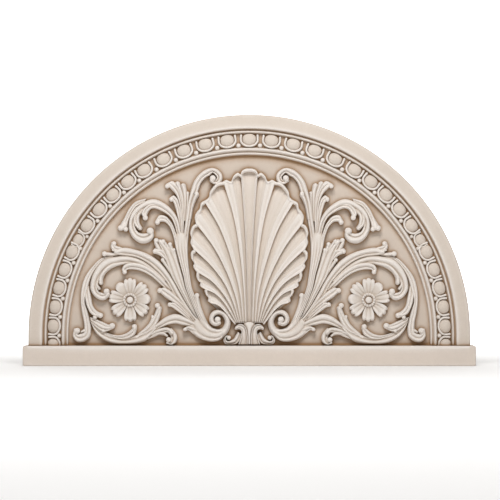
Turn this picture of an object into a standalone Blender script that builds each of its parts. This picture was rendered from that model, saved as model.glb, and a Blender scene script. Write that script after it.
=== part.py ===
# Half-round carved stone panel for over a door, standing on its own base ledge.
# Metres, front towards -Y, +Z up, origin at the middle of the ledge's underside.

import math

import bmesh
import bpy
from mathutils import Matrix

# Arch and slab; the arch is a half circle raised on short straight feet
ARCH_RADIUS = 0.586
STILT = 0.0265
SLAB_DEPTH = 0.045

# The carving is drawn in millimetres on a panel of this radius and grows with the arch; it
# starts a little below the ground of the relief
DRAWN_RADIUS = 586.0
SCALE = ARCH_RADIUS / DRAWN_RADIUS
SUNK = 3.0

# Arch moulding, drawn mm: radius and height above the ground of the relief
OUTER_FACE = 26.0
MOULDING = [
    (586.0, 19.0), (579.0, OUTER_FACE), (551.0, OUTER_FACE), (546.0, 10.0), (541.0, 19.0),
    (535.5, 7.0), (500.0, 7.0), (494.5, 18.0), (488.0, 9.0), (483.5, 13.0), (477.5, 0.0),
]

# Base ledge, wider and deeper than the arch that stands on it
LEDGE_HEIGHT = 0.053
LEDGE_OVERHANG = 0.014
LEDGE_LENGTH = 2 * (ARCH_RADIUS + LEDGE_OVERHANG)
LEDGE_PROUD = 0.015
LEDGE_DEPTH = SLAB_DEPTH + OUTER_FACE * SCALE + LEDGE_PROUD
LEDGE_ROUND = 0.004
BACK = LEDGE_DEPTH / 2
JOINT_GAP = 0.0003

# Egg-and-dart course: eggs each side of the one at the crown, degrees from it
CROWN_STEP = 6.47
SHOULDER_STEP = 5.82
HAUNCH_STEP = 5.63
CROWN_EGGS = 5
SHOULDER_EGGS = 4
HAUNCH_EGGS = 5
FIRST_HAUNCH_EGG = 64.7
LAPPED_EGG = 60.8
LAPPED_SIZE = 0.86
EGG_RADIUS = 520.0
EGG_HALF_WIDTH = 17.5
EGG_HALF_LENGTH = 15.0
EGG_TOP = 20.0
RIM_HALF_WIDTH = 20.5
RIM_THICK = 6.0
RIM_TOP = 17.0
RIM_LEG = 14.0
DART_RADIUS = 505.0
DART_SIZE = 5.5
DART_TOP = 16.0

# Shell: the creases between its flutes from the root to the rim, left half, mm from the
# centre line and above the ledge
SHELL_CREASES = [
    [(0, 60), (0, 162), (0, 265), (0, 368), (0, 470)],
    [(4, 60), (6.5, 158), (9.5, 256), (15.5, 355), (23, 454)],
    [(11, 60), (15.5, 150), (25.5, 245), (41.5, 340), (70, 435)],
    [(17, 60), (26.5, 145), (49, 231), (78.5, 311), (121, 384)],
    [(22, 60), (37, 130), (62, 198), (96.5, 263), (142, 323)],
    [(27, 60), (44, 116), (69, 169), (104, 214), (148, 255)],
    [(31, 60), (48, 101), (72, 140), (101, 171), (140, 195)],
    [(35, 60), (51, 88), (67.5, 113.5), (89, 136), (118, 150)],
    [(38, 55), (52.5, 73), (66, 91), (83.5, 107), (103, 113)],
]
# Where the flutes end on the rim, four to a lobe, between one crease and the next
SHELL_RIMS = [
    [(6, 470), (12, 468.5), (17, 466), (21, 461)],
    [(31, 459), (42, 450), (49, 436), (61, 440)],
    [(86, 431), (104, 410), (107, 395), (115, 387)],
    [(129, 378), (132, 364), (139, 355), (145, 341)],
    [(151, 317), (157, 299), (154, 286), (156, 272)],
    [(155, 247), (154, 231), (147, 219), (149, 209)],
    [(141, 185), (136, 172), (130, 168), (131, 158)],
    [(119, 144), (114, 133), (109, 127), (110, 118)],
]
SHELL_ACROSS = [0.2, 0.42, 0.62, 0.82]
SHELL_CREASE = 0.45
SHELL_PROFILE = [0.55, 0.62, 0.86, 1.0]
SHELL_TOP = 28.0
SHELL_ROOT = 0.6
SHELL_ROWS = [0.0, 0.3, 0.62]
RIM_INSIDE = 11.0
RIM_CREST = 4.0

# Cross-sections of a leaf: place from its first edge to its second, and part of its height
ROUND = [(0.0, -1), (0.14, 0.9), (0.7, 1.0), (1.0, -1)]
BAND = [(0.0, -1), (0.1, 0.86), (0.4, 1.0), (0.88, 0.58), (1.0, -1)]
DOUBLE = [(0.0, -1), (0.13, 0.95), (0.48, 0.74), (0.82, 1.0), (1.0, -1)]

# Leaves and scrolls of the left half: cross-section, heights at the root, middle and tip, and
# stations as first edge and second edge, all in drawn mm
LEAVES = {
    "volute": (DOUBLE, (17, 23, 27), [
        (155, 36, 122, 74), (138, 21, 108, 57), (120, 13, 101, 50), (100, 9.5, 92, 46),
        (80, 13, 82, 44), (63, 26, 72, 48), (53, 42, 67, 56), (49, 60, 66, 66),
        (53, 77, 70, 75), (64, 90, 76, 81), (80, 96, 84, 82), (95, 92, 90, 78),
        (105, 80, 93, 72), (107, 67, 92, 67), (101, 56, 89, 64), (90, 51, 86, 65),
        (79, 54, 83, 66)]),
    "stem": (DOUBLE, (17, 18, 13), [
        (127, 59, 110, 59), (148, 100, 130, 100), (161, 131, 144, 131), (168, 150, 151, 150),
        (177, 190, 158, 190), (187, 225, 162, 225), (197, 262, 163, 258), (200, 285, 162, 284)]),
    "hook": (DOUBLE, (13, 20, 25), [
        (176, 262, 163, 262), (176, 290, 161, 290), (172, 320, 157, 320), (168, 350, 152, 350),
        (163, 385, 147, 382), (156, 411, 137, 406), (146, 438, 127, 433), (131, 457, 114, 447),
        (115, 468, 104, 452), (98, 472, 97, 458), (82, 466, 91, 453), (71, 450, 87, 446),
        (74, 434, 89, 441), (90, 427, 93, 439), (104, 434, 96, 442)]),
    "hook_side": (ROUND, (14, 19, 23), [
        (163, 335, 153, 335), (155, 372, 147, 370), (150, 395, 140, 389), (145, 407, 134, 397)]),
    "palmette_curl": (BAND, (15, 18, 20), [
        (175, 292, 179, 292), (173, 330, 182, 330), (175, 362, 184, 362), (180, 388, 190, 386),
        (187, 410, 198, 401), (197, 428, 208, 411), (209, 437, 215, 421), (221, 427, 218, 418)]),
    "palmette_second": (ROUND, (12, 18, 18), [
        (179, 330, 173, 330), (181, 380, 173, 380), (188, 410, 177, 406), (196, 430, 185, 428)]),
    "palmette_third": (ROUND, (12, 18, 19), [
        (177, 330, 170, 330), (176, 380, 168, 380), (179, 407, 167, 407), (182, 427, 169, 427)]),
    "palmette_fourth": (ROUND, (12, 17, 17), [
        (172, 330, 168, 330), (170, 370, 164, 370), (168, 405, 160, 405)]),
    "palmette_left": (BAND, (14, 17, 20), [
        (177, 300, 182, 300), (179, 340, 189, 338), (182, 372, 196, 368), (190, 394, 202, 382),
        (200, 400, 207, 384), (209, 392, 211, 385)]),
    "c_scroll": (BAND, (14, 22, 25), [
        (177, 262, 190, 265), (181, 300, 194, 300), (192, 342, 211, 338), (222, 375, 229, 353),
        (256, 387, 256, 358), (287, 382, 278, 357), (311, 360, 290, 347), (321, 332, 304, 330),
        (321, 302, 303, 311), (309, 281, 296, 303), (287, 271, 286, 299), (266, 275, 277, 297),
        (254, 294, 270, 300), (262, 311, 272, 303)]),
    "c_outer_leaf": (ROUND, (14, 19, 20), [
        (275, 390, 275, 383), (303, 381, 299, 374), (321, 361, 313, 357), (333, 336, 321, 335),
        (346, 318, 326, 312)]),
    "c_inner_leaf": (DOUBLE, (11, 20, 22), [
        (236, 372, 236, 362), (262, 377, 256, 365), (279, 369, 265, 359), (287, 352, 271, 345)]),
    "c_inner_tip": (ROUND, (14, 19, 20), [
        (304, 355, 290, 350), (308, 330, 292, 332), (303, 313, 288, 320)]),
    "c_lower_leaf": (DOUBLE, (12, 19, 21), [
        (188, 262, 196, 258), (197, 305, 206, 302), (209, 329, 217, 319), (227, 346, 229, 328),
        (242, 344, 237, 327), (249, 332, 240, 324)]),
    "spray": (DOUBLE, (16, 17, 18), [
        (143, 77, 136, 74), (160, 101, 148, 100), (178, 131, 159, 127), (194, 160, 170, 155),
        (207, 182, 178, 187), (220, 206, 187, 222), (226, 226, 192, 243)]),
    "spray_top": (BAND, (12, 18, 20), [
        (196, 215, 205, 212), (208, 242, 219, 238), (222, 268, 234, 258), (240, 287, 246, 269)]),
    "spray_second": (ROUND, (12, 17, 18), [
        (210, 230, 200, 232), (219, 255, 207, 254), (231, 276, 218, 270)]),
    "spray_third": (ROUND, (12, 16, 17), [
        (201, 220, 190, 224), (208, 245, 196, 248), (215, 266, 204, 268)]),
    "spray_low": (BAND, (12, 18, 21), [
        (203, 212, 210, 200), (216, 239, 224, 229), (232, 257, 238, 238), (247, 259, 247, 242)]),
    "spray_lowest": (ROUND, (12, 17, 19), [
        (200, 188, 205, 180), (213, 213, 220, 204), (227, 230, 233, 220)]),
    "spray_edge": (ROUND, (12, 16, 16), [
        (195, 205, 183, 205), (199, 230, 188, 232), (204, 256, 196, 258)]),
    "top_stem": (DOUBLE, (17, 19, 19), [
        (140, 74, 148, 68), (160, 101, 172, 96), (178, 131, 194, 123), (207, 182, 220, 170),
        (235, 219, 246, 198), (265, 241, 272, 220), (300, 254, 300, 233), (336, 260, 335, 238),
        (356, 258, 356, 240)]),
    "top_tip": (ROUND, (13, 17, 19), [
        (334, 249, 334, 260), (352, 254, 350, 263), (366, 260, 357, 270)]),
    "top_second_tip": (ROUND, (13, 17, 17), [
        (335, 247, 335, 256), (352, 247, 352, 256), (363, 250, 362, 257)]),
    "top_third_tip": (ROUND, (12, 17, 17), [
        (350, 237, 350, 248), (368, 236, 367, 248), (382, 237, 381, 250)]),
    "ring": (BAND, (13, 20, 22), [
        (220, 174, 232, 163), (245, 198, 258, 186), (285, 227, 292, 206), (320, 238, 320, 215),
        (352, 237, 350, 211), (385, 229, 373, 199), (409, 204, 388, 183), (424, 168, 396, 166),
        (425, 141, 402, 152), (409, 125, 396, 145), (388, 119, 387, 140), (373, 128, 381, 139),
        (372, 143, 381, 142)]),
    "ring_tip": (ROUND, (13, 19, 20), [
        (398, 200, 384, 192), (407, 180, 390, 176), (402, 167, 389, 168)]),
    "ring_second_tip": (ROUND, (12, 17, 18), [
        (416, 178, 406, 176), (412, 162, 401, 162), (402, 151, 395, 156)]),
    "ring_hook": (BAND, (12, 19, 23), [
        (205, 150, 216, 142), (222, 170, 238, 166), (258, 201, 266, 187), (295, 219, 296, 200),
        (320, 220, 315, 201), (336, 211, 325, 199), (338, 197, 327, 194)]),
    "outer_leaf": (DOUBLE, (12, 17, 19), [
        (362, 241, 362, 234), (395, 231, 386, 227), (418, 209, 403, 211), (438, 180, 420, 181),
        (448, 147, 428, 146), (450, 112, 438, 112), (447, 84, 429, 84), (441, 58, 423, 60),
        (440, 43, 420, 42), (441, 32, 427, 19), (448, 27, 443, 9), (455, 28, 460, 11),
        (457, 33, 469, 26), (456, 37, 465, 43)]),
    "outer_leaf_ridge": (ROUND, (12, 18, 20), [
        (428, 150, 441, 145), (421, 125, 440, 120), (417, 108, 435, 97), (409, 97, 425, 81),
        (400, 90, 408, 74)]),
    "low_leaf": (DOUBLE, (12, 18, 21), [
        (424, 74, 420, 58), (404, 71, 408, 50), (386, 61, 392, 38), (370, 60, 374, 38),
        (362, 62, 361, 44)]),
    "base_sweep": (DOUBLE, (12, 17, 18), [
        (424, 66, 420, 64), (409, 34, 404, 46), (382, 12, 380, 33), (352, 3.5, 352, 28),
        (320, 3.5, 322, 32), (298, 4.5, 294, 38), (272, 14, 268, 46), (262, 30, 250, 52)]),
    "base_hook": (ROUND, (12, 17, 20), [
        (350, 14, 350, 27), (320, 19, 322, 33), (300, 32, 313, 41), (297, 48, 310, 50)]),
    "base_leaf": (DOUBLE, (12, 18, 20), [
        (300, 30, 290, 22), (276, 52, 264, 38), (262, 69, 243, 60), (255, 82, 233, 79),
        (250, 97, 234, 101)]),
    "base_leaf_tip": (ROUND, (12, 16, 16), [
        (274, 51, 262, 51), (264, 66, 254, 63), (260, 76, 255, 74)]),
    "arch_leaf": (BAND, (15, 20, 15), [
        (145, 62, 147, 46), (160, 70, 160, 51), (177, 79, 177, 54), (197, 83, 195, 58),
        (220, 76, 215, 55), (243, 60, 236, 46), (270, 41, 262, 32), (300, 27, 296, 16)]),
    "curl": (BAND, (12, 20, 23), [
        (284, 28, 280, 11), (258, 38, 252, 22), (234, 46, 232, 30), (212, 46, 216, 34),
        (199, 37, 208, 28), (192, 22, 205, 20), (195, 8, 206, 13), (208, 2.5, 211, 11),
        (221, 6, 215, 13)]),
    "curl_inner": (ROUND, (16, 18, 19), [
        (262, 31, 262, 18), (240, 36, 240, 25), (225, 34, 226, 24), (214, 27, 219, 22)]),
    "under_hook": (BAND, (13, 19, 21), [
        (130, 44, 138, 22), (147, 49, 152, 32), (162, 52, 162, 40), (174, 46, 170, 38)]),
    "back_leaf": (BAND, (12, 19, 21), [
        (155, 88, 161, 82), (175, 110, 184, 103), (195, 134, 204, 117), (214, 149, 222, 126),
        (230, 155, 236, 139), (243, 147, 241, 140)]),
    "back_leaf_low": (BAND, (12, 18, 20), [
        (152, 70, 153, 64), (170, 86, 174, 80), (190, 107, 194, 93), (204, 116, 206, 100),
        (215, 109, 212, 101)]),
    "foot_leaf": (ROUND, (12, 16, 18), [
        (151, 108, 130, 98), (148, 126, 136, 122), (146, 138, 136, 136)]),
    "root_hook": (BAND, (24, 28, 29), [
        (5, 4, 33, 4), (4, 20, 25, 17), (5, 35, 21, 28), (9, 48, 20, 38), (17, 56, 24, 45),
        (27, 57, 30, 44), (36, 51, 34, 43)]),
    "root_curl": (BAND, (22, 25, 26), [
        (30, 41, 37, 36), (24, 31, 33, 32), (25, 19, 35, 23), (34, 8, 41, 16), (48, 4, 49, 13),
        (62, 4, 57, 14), (69, 12, 61, 18)]),
}

# Balls that end the curls: place, radius and height, drawn mm
BALLS = [
    (84, 69, 8, 29), (95, 444, 9, 28), (267, 305, 8, 26), (344, 309, 6.5, 21), (331, 308, 5.5, 20),
    (381, 143, 7.5, 24), (458, 39, 8, 22), (215, 14, 7, 24), (53, 25, 6, 28),
]

# Bud at the root of the shell: half width and height above the ledge, drawn mm
BUD = [(3, 4), (3.5, 18), (5, 34), (9, 46), (13, 55)]
BUD_TOP = (9, 61)
BUD_HEIGHT = 27.0

# Flower inside each ring, drawn mm
FLOWER_CENTRE = (317, 121)
PETAL_ANGLES = [90, 45, 5, -37, -90, -140, 178, 128]
PETAL_LENGTH = 55.0
PETAL_ROOT = 14.0
PETAL_SPREAD = 21.0
PETAL_TOP = 17.0
BEAD_RING = 19.0
BEAD_CREST = 15.0
BEAD_TOP = 19.0
BOSS_RADIUS = 9.0
BOSS_TOP = 22.0

# Counts of the facets; the arch has this many to a quarter turn
ARCH_STEPS = 16
FACETS_KEPT = 0.5
EGG_SIDES = 8
RIM_STEPS = 5
BALL_SIDES = 6
DART_SIDES = 5
HEART_SIDES = 10
SHARP_ANGLE = 40.0


def clear_scene():
    for obj in list(bpy.data.objects):
        bpy.data.objects.remove(obj, do_unlink=True)


def place(x, z, height):
    """Point of the carving: left of the centre line, above the ledge, proud of the ground."""
    foot = LEDGE_HEIGHT + JOINT_GAP
    return (-x * SCALE, BACK - SLAB_DEPTH - height * SCALE, foot + z * SCALE)


def mesh_object(name, points, faces, collection, smooth=True):
    mesh = bpy.data.meshes.new(name)
    mesh.from_pydata(points, [], faces)
    shape = bmesh.new()
    shape.from_mesh(mesh)
    bmesh.ops.triangulate(shape, faces=[f for f in shape.faces if len(f.verts) == 4])
    bmesh.ops.recalc_face_normals(shape, faces=shape.faces)
    shape.to_mesh(mesh)
    shape.free()
    if smooth:
        mesh.shade_smooth()
        mesh.set_sharp_from_angle(angle=math.radians(SHARP_ANGLE))
    obj = bpy.data.objects.new(name, mesh)
    collection.objects.link(obj)
    return obj


class Carving:
    """Points and faces of closed shapes gathered for one mesh, each with its mirror image."""

    def __init__(self):
        self.points = []
        self.faces = []

    def add(self, points, faces):
        start = len(self.points)
        self.points += points
        self.faces += [tuple(start + i for i in face) for face in faces]

    def add_pair(self, points, faces):
        self.add(points, faces)
        self.add([(-x, y, z) for x, y, z in points], faces)

    def add_rings(self, rings, pair=True):
        """Closed shape through rings of equal count, its two ends capped."""
        count = len(rings[0])
        points = [point for ring in rings for point in ring]
        faces = [tuple(range(count)), tuple(range(len(points) - count, len(points)))]
        for r in range(len(rings) - 1):
            for i in range(count):
                j = (i + 1) % count
                low = r * count
                faces.append((low + i, low + j, low + count + j, low + count + i))
        if pair:
            self.add_pair(points, faces)
        else:
            self.add(points, faces)


def section_ring(first, second, section, height, sunk=SUNK):
    """One cross-section of a leaf, its two ends sunk below the ground."""
    ring = []
    for across, part in section:
        x = first[0] + (second[0] - first[0]) * across
        z = first[1] + (second[1] - first[1]) * across
        ring.append(place(x, z, -sunk if part < 0 else part * height))
    return ring


def leaf_rings(section, heights, stations, sunk):
    """Cross-sections of a leaf with a rounded tip beyond its last station."""
    last = len(stations) - 1
    rings = []
    for i, (ax, az, bx, bz) in enumerate(stations):
        along = i / last
        if along < 0.5:
            height = heights[0] + (heights[1] - heights[0]) * along * 2
        else:
            height = heights[1] + (heights[2] - heights[1]) * (along * 2 - 1)
        rings.append(section_ring((ax, az), (bx, bz), section, height, sunk))
    ax, az, bx, bz = stations[-1]
    px, pz, qx, qz = stations[-2]
    ahead = (ax + bx - px - qx, az + bz - pz - qz)
    width = math.hypot(bx - ax, bz - az)
    reach = 0.42 * width / math.hypot(*ahead)
    mid = ((ax + bx) / 2 + ahead[0] * reach, (az + bz) / 2 + ahead[1] * reach)
    half = ((bx - ax) * 0.24, (bz - az) * 0.24)
    first = (mid[0] - half[0], mid[1] - half[1])
    second = (mid[0] + half[0], mid[1] + half[1])
    rings.append(section_ring(first, second, section, heights[2] * 0.72, sunk))
    return rings


def dome_rings(x, z, radius, height, sides, stretch=1.0, turn=0.0, sunk=SUNK):
    """Rings of a low dome, longer one way by stretch and turned by an angle."""
    rings = []
    for size, rise in ((1.0, -sunk), (0.9, height * 0.7), (0.5, height)):
        ring = []
        for i in range(sides):
            angle = 2 * math.pi * i / sides
            u = radius * size * math.cos(angle)
            v = radius * size * stretch * math.sin(angle)
            ring.append(place(
                x + u * math.cos(turn) - v * math.sin(turn),
                z + u * math.sin(turn) + v * math.cos(turn),
                rise,
            ))
        rings.append(ring)
    return rings


def on_arch(radius, degrees, height):
    """Point of the arch moulding at an angle from the crown, positive to the left. Past a
    quarter turn the moulding goes straight down and stops on the ledge."""
    bend = min(degrees, 90.0)
    drop = math.radians(degrees - bend) * EGG_RADIUS
    angle = math.radians(bend)
    z = STILT / SCALE + radius * math.cos(angle) - drop
    return place(radius * math.sin(angle), max(z, 0.0), height)


def panel_blank():
    """Slab and arch moulding: the moulding's profile at each step round the arch."""
    foot = math.degrees(STILT / SCALE / EGG_RADIUS)
    stations = [90.0 + foot] + [90.0 - 90.0 * i / ARCH_STEPS for i in range(ARCH_STEPS + 1)]
    stations = [(degrees, 1) for degrees in stations] + [(d, -1) for d in stations[-2::-1]]
    points, faces = [], []
    count = len(MOULDING) + 1
    for degrees, side in stations:
        for radius, height in MOULDING:
            x, y, z = on_arch(radius, degrees, height)
            points.append((x * side, y, z))
        x, y, z = on_arch(MOULDING[0][0], degrees, 0)
        points.append((x * side, BACK, z))
    steps = len(stations)
    for s in range(steps - 1):
        for i in range(count - 2):
            low = s * count + i
            faces.append((low, low + 1, low + count + 1, low + count))
        low = s * count
        faces.append((low + count - 1, low, low + count, low + 2 * count - 1))
    inner = count - 2
    faces.append(tuple(s * count + inner for s in range(steps)))
    faces.append(tuple(s * count + count - 1 for s in range(steps)))
    end = (steps - 1) * count
    foot = [count - 1] + list(range(count - 1))
    foot += [end + i for i in reversed(range(count - 1))] + [end + count - 1]
    faces.append(tuple(foot))
    return points, faces


def egg_angles():
    """Angles and sizes of the eggs left of the crown, the last one cut by the ledge."""
    angles = [CROWN_STEP * (i + 1) for i in range(CROWN_EGGS)]
    angles += [angles[-1] + SHOULDER_STEP * (i + 1) for i in range(SHOULDER_EGGS)]
    eggs = [(degrees, 1.0) for degrees in angles] + [(LAPPED_EGG, LAPPED_SIZE)]
    return eggs + [(FIRST_HAUNCH_EGG + HAUNCH_STEP * i, 1.0) for i in range(HAUNCH_EGGS + 1)]


def egg_ring(degrees, size, height):
    """Outline of an egg about its middle. The last egg keeps only what clears the ledge."""
    ring = []
    for i in range(EGG_SIDES):
        turn = 2 * math.pi * (i + 0.5) / EGG_SIDES
        if degrees > 90.0 and math.cos(turn) > 0.5:
            continue
        across = math.degrees(EGG_HALF_WIDTH * size * math.cos(turn) / EGG_RADIUS)
        out = EGG_HALF_LENGTH * size * math.sin(turn)
        ring.append(on_arch(EGG_RADIUS + out, degrees + across, height))
    return ring


def rim_ring(u, v, degrees, size):
    """Ridge across the U-shaped rim of an egg, at a place on its middle line."""
    length = math.hypot(u, v) if v < 0 else abs(u)
    ring = []
    for side, height in ((-1, -SUNK), (0, RIM_TOP), (1, -SUNK)):
        grow = 1 + side * RIM_THICK / 2 / length
        x, z = (u * grow, v * grow) if v < 0 else (u * grow, v)
        across = math.degrees(x * size / EGG_RADIUS)
        ring.append(on_arch(EGG_RADIUS + z * size, degrees + across, height))
    return ring


def egg_and_dart(collection):
    eggs, rims, darts = Carving(), Carving(), Carving()
    placed = [(0.0, 1.0)] + egg_angles()
    for degrees, size in placed:
        rings = [egg_ring(degrees, size, -SUNK), egg_ring(degrees, size * 0.9, EGG_TOP * 0.75)]
        rings.append(egg_ring(degrees, size * 0.5, EGG_TOP))
        eggs.add_rings(rings, pair=degrees > 0)
        rings = [rim_ring(RIM_HALF_WIDTH, RIM_LEG, degrees, size)]
        for i in range(RIM_STEPS + 1):
            turn = -math.pi * i / RIM_STEPS
            rings.append(rim_ring(RIM_HALF_WIDTH * math.cos(turn),
                                  RIM_HALF_WIDTH * math.sin(turn) - 0.01, degrees, size))
        rings.append(rim_ring(-RIM_HALF_WIDTH, RIM_LEG, degrees, size))
        if degrees > 90.0:
            rings = rings[RIM_STEPS // 2 + 2:]
        rims.add_rings(rings, pair=degrees > 0)
    for (near, _), (far, size) in zip(placed[:-1], placed[1:]):
        between = near + (far - near) * (0.56 if size < 1 else 0.5)
        rings = []
        for spread, height in ((1.1, -SUNK), (0.6, DART_TOP)):
            ring = []
            for i in range(DART_SIDES):
                turn = 2 * math.pi * i / DART_SIDES
                across = math.degrees(DART_SIZE * spread * math.cos(turn) / DART_RADIUS)
                radius = DART_RADIUS + DART_SIZE * spread * math.sin(turn) * 1.15
                ring.append(on_arch(radius, between + across, height))
            rings.append(ring)
        darts.add_rings(rings)
    mesh_object("eggs", eggs.points, eggs.faces, collection)
    mesh_object("egg_rims", rims.points, rims.faces, collection)
    mesh_object("darts", darts.points, darts.faces, collection)


def along_line(line, at):
    """Point on a smooth line through five points, at 0 to 1 of its run."""
    spot = at * (len(line) - 1)
    i = min(int(spot), len(line) - 2)
    f = spot - i
    before = line[max(i - 1, 0)]
    after = line[min(i + 2, len(line) - 1)]
    result = []
    for p0, p1, p2, p3 in zip(before, line[i], line[i + 1], after):
        result.append(
            p1 + 0.5 * f * (p2 - p0 + f * (2 * p0 - 5 * p1 + 4 * p2 - p3
                                           + f * (3 * (p1 - p2) + p3 - p0)))
        )
    return result


def shell_columns():
    """Columns of the left half, each its rows of drawn points and heights, centre first."""
    columns = []
    for lobe, rims in enumerate(SHELL_RIMS):
        upper, lower = SHELL_CREASES[lobe], SHELL_CREASES[lobe + 1]
        first_part = 0.62 if lobe == 0 else SHELL_CREASE
        ends = [(0.0, upper[-1], first_part)]
        ends += list(zip(SHELL_ACROSS, rims, SHELL_PROFILE))
        if lobe == len(SHELL_RIMS) - 1:
            ends.append((1.0, lower[-1], 0.7))
        for across, rim, part in ends:
            columns.append(shell_column(upper, lower, across, rim, part))
    return columns


def shell_column(upper, lower, across, rim, part):
    def at(t):
        a, b = along_line(upper, t), along_line(lower, t)
        return [p + (q - p) * across for p, q in zip(a, b)]

    end = at(1.0)
    pull = (rim[0] - end[0], rim[1] - end[1])
    root = at(0.0)
    length = math.hypot(end[0] - root[0], end[1] - root[1])
    rows = []
    inside = 1 - RIM_INSIDE / length
    crest = 1 - RIM_CREST / length
    body = [t * inside / 0.8 for t in SHELL_ROWS]
    for t in body + [inside, crest, 1.0]:
        x, z = at(t)
        grip = t ** 3
        x, z = x + pull[0] * grip, z + pull[1] * grip
        if t == 1.0:
            height = SHELL_TOP * 0.55
        elif t == crest:
            height = SHELL_TOP * min(1.0, 0.7 + 0.55 * part)
        else:
            height = SHELL_TOP * part * (SHELL_ROOT + (1 - SHELL_ROOT) * min(1.0, t * 1.6))
        rows.append((x, z, height))
    return rows


def shell(collection):
    left = shell_columns()
    right = [[(-x, z, h) for x, z, h in column] for column in left[1:]]
    columns = list(reversed(right)) + left
    rings = []
    for column in columns:
        ring = [place(x, z, h) for x, z, h in column]
        x, z, _ = column[-1]
        ring.append(place(x, z, -SUNK))
        x, z, _ = column[0]
        ring.append(place(x, z, -SUNK))
        rings.append(ring)
    shape = Carving()
    shape.add_rings(rings, pair=False)
    mesh_object("shell", shape.points, shape.faces, collection)


def root_bud(collection):
    rings = []
    for width, z in BUD:
        ring = [place(width * s, z, BUD_HEIGHT * h) for s, h in ((-0.6, 0.96), (0, 1), (0.6, 0.96))]
        ring = [place(-width, z, -SUNK), place(-width, z, BUD_HEIGHT * 0.7)] + ring
        ring += [place(width, z, BUD_HEIGHT * 0.7), place(width, z, -SUNK)]
        rings.append(ring)
    width, z = BUD_TOP
    ring = [place(width * s, z, BUD_HEIGHT * 0.8) for s in (-0.6, 0, 0.6)]
    ring = [place(-width, z, -SUNK), place(-width, z, BUD_HEIGHT * 0.6)] + ring
    ring += [place(width, z, BUD_HEIGHT * 0.6), place(width, z, -SUNK)]
    rings.append(ring)
    shape = Carving()
    shape.add_rings(rings, pair=False)
    mesh_object("root_bud", shape.points, shape.faces, collection)


def flowers(collection):
    cx, cz = FLOWER_CENTRE
    for number, degrees in enumerate(PETAL_ANGLES):
        turn = math.radians(degrees)
        shape = Carving()
        rings = []
        for side, lobe in ((-1, 0.8), (-0.62, 0.93), (0, 1), (0.62, 0.93), (1, 0.8)):
            spread = math.radians((PETAL_SPREAD + 0.13 * number) * side)
            edge = 1.0 if abs(side) == 1 else 0.8
            ring = []
            for reach, height in ((0.0, 0.62), (0.55, 0.8 * edge), (0.88, 1.0), (1.0, 0.8)):
                radius = PETAL_ROOT + (PETAL_LENGTH * lobe - PETAL_ROOT) * reach
                angle = turn + spread * (0.72 + 0.28 * reach)
                ring.append(place(
                    cx - radius * math.cos(angle), cz + radius * math.sin(angle),
                    PETAL_TOP * height,
                ))
            low = -SUNK - 0.1 * number
            x, z = [cx - PETAL_LENGTH * lobe * math.cos(turn + spread),
                    cz + PETAL_LENGTH * lobe * math.sin(turn + spread)]
            ring.append(place(x, z, low))
            angle = turn + spread * 0.72
            ring.append(place(cx - PETAL_ROOT * math.cos(angle),
                              cz + PETAL_ROOT * math.sin(angle), low))
            rings.append(ring)
        shape.add_rings(rings)
        mesh_object(f"petal_{number}", shape.points, shape.faces, collection)
    heart = Carving()
    rings = []
    for radius, height in ((BEAD_RING, -SUNK - 1), (BEAD_RING, BEAD_TOP * 0.8),
                           (BEAD_CREST, BEAD_TOP), (BOSS_RADIUS + 1.8, BEAD_TOP * 0.7),
                           (BOSS_RADIUS - 1.0, BOSS_TOP * 0.9), (BOSS_RADIUS * 0.3, BOSS_TOP)):
        ring = []
        for i in range(HEART_SIDES):
            angle = 2 * math.pi * i / HEART_SIDES
            ring.append(place(cx + radius * math.cos(angle), cz + radius * math.sin(angle), height))
        rings.append(ring)
    heart.add_rings(rings)
    mesh_object("flower_hearts", heart.points, heart.faces, collection)


def leaves(collection):
    for number, (name, (section, heights, stations)) in enumerate(LEAVES.items()):
        shape = Carving()
        shape.add_rings(leaf_rings(section, heights, stations, SUNK + 0.05 * number))
        mesh_object(name, shape.points, shape.faces, collection)
    balls = Carving()
    for x, z, radius, height in BALLS:
        balls.add_rings(dome_rings(x, z, radius, height, BALL_SIDES, sunk=SUNK + 4))
    mesh_object("curl_balls", balls.points, balls.faces, collection)


def material(name, colour, roughness):
    made = bpy.data.materials.new(name)
    made.use_nodes = True
    shader = made.node_tree.nodes["Principled BSDF"]
    shader.inputs["Base Color"].default_value = (*colour, 1.0)
    shader.inputs["Roughness"].default_value = roughness
    return made


def base_ledge(collection):
    bpy.ops.mesh.primitive_cube_add(size=1.0, location=(0.0, 0.0, LEDGE_HEIGHT / 2))
    obj = bpy.context.object
    obj.name = obj.data.name = "base_ledge"
    obj.data.transform(Matrix.Diagonal((LEDGE_LENGTH, LEDGE_DEPTH, LEDGE_HEIGHT, 1.0)))
    for holder in list(obj.users_collection):
        holder.objects.unlink(obj)
    collection.objects.link(obj)
    edge = obj.modifiers.new("rounded edges", "BEVEL")
    edge.width = LEDGE_ROUND
    edge.segments = 2
    edge.limit_method = "ANGLE"
    return obj


clear_scene()
object_collection = bpy.data.collections.new("tympanum_panel")
bpy.context.scene.collection.children.link(object_collection)
carving_collection = bpy.data.collections.new("carving")
bpy.context.scene.collection.children.link(carving_collection)

egg_and_dart(carving_collection)
shell(carving_collection)
root_bud(carving_collection)
leaves(carving_collection)
flowers(carving_collection)
for shape in carving_collection.objects:
    shape.hide_render = True
    shape.display_type = "WIRE"

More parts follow.
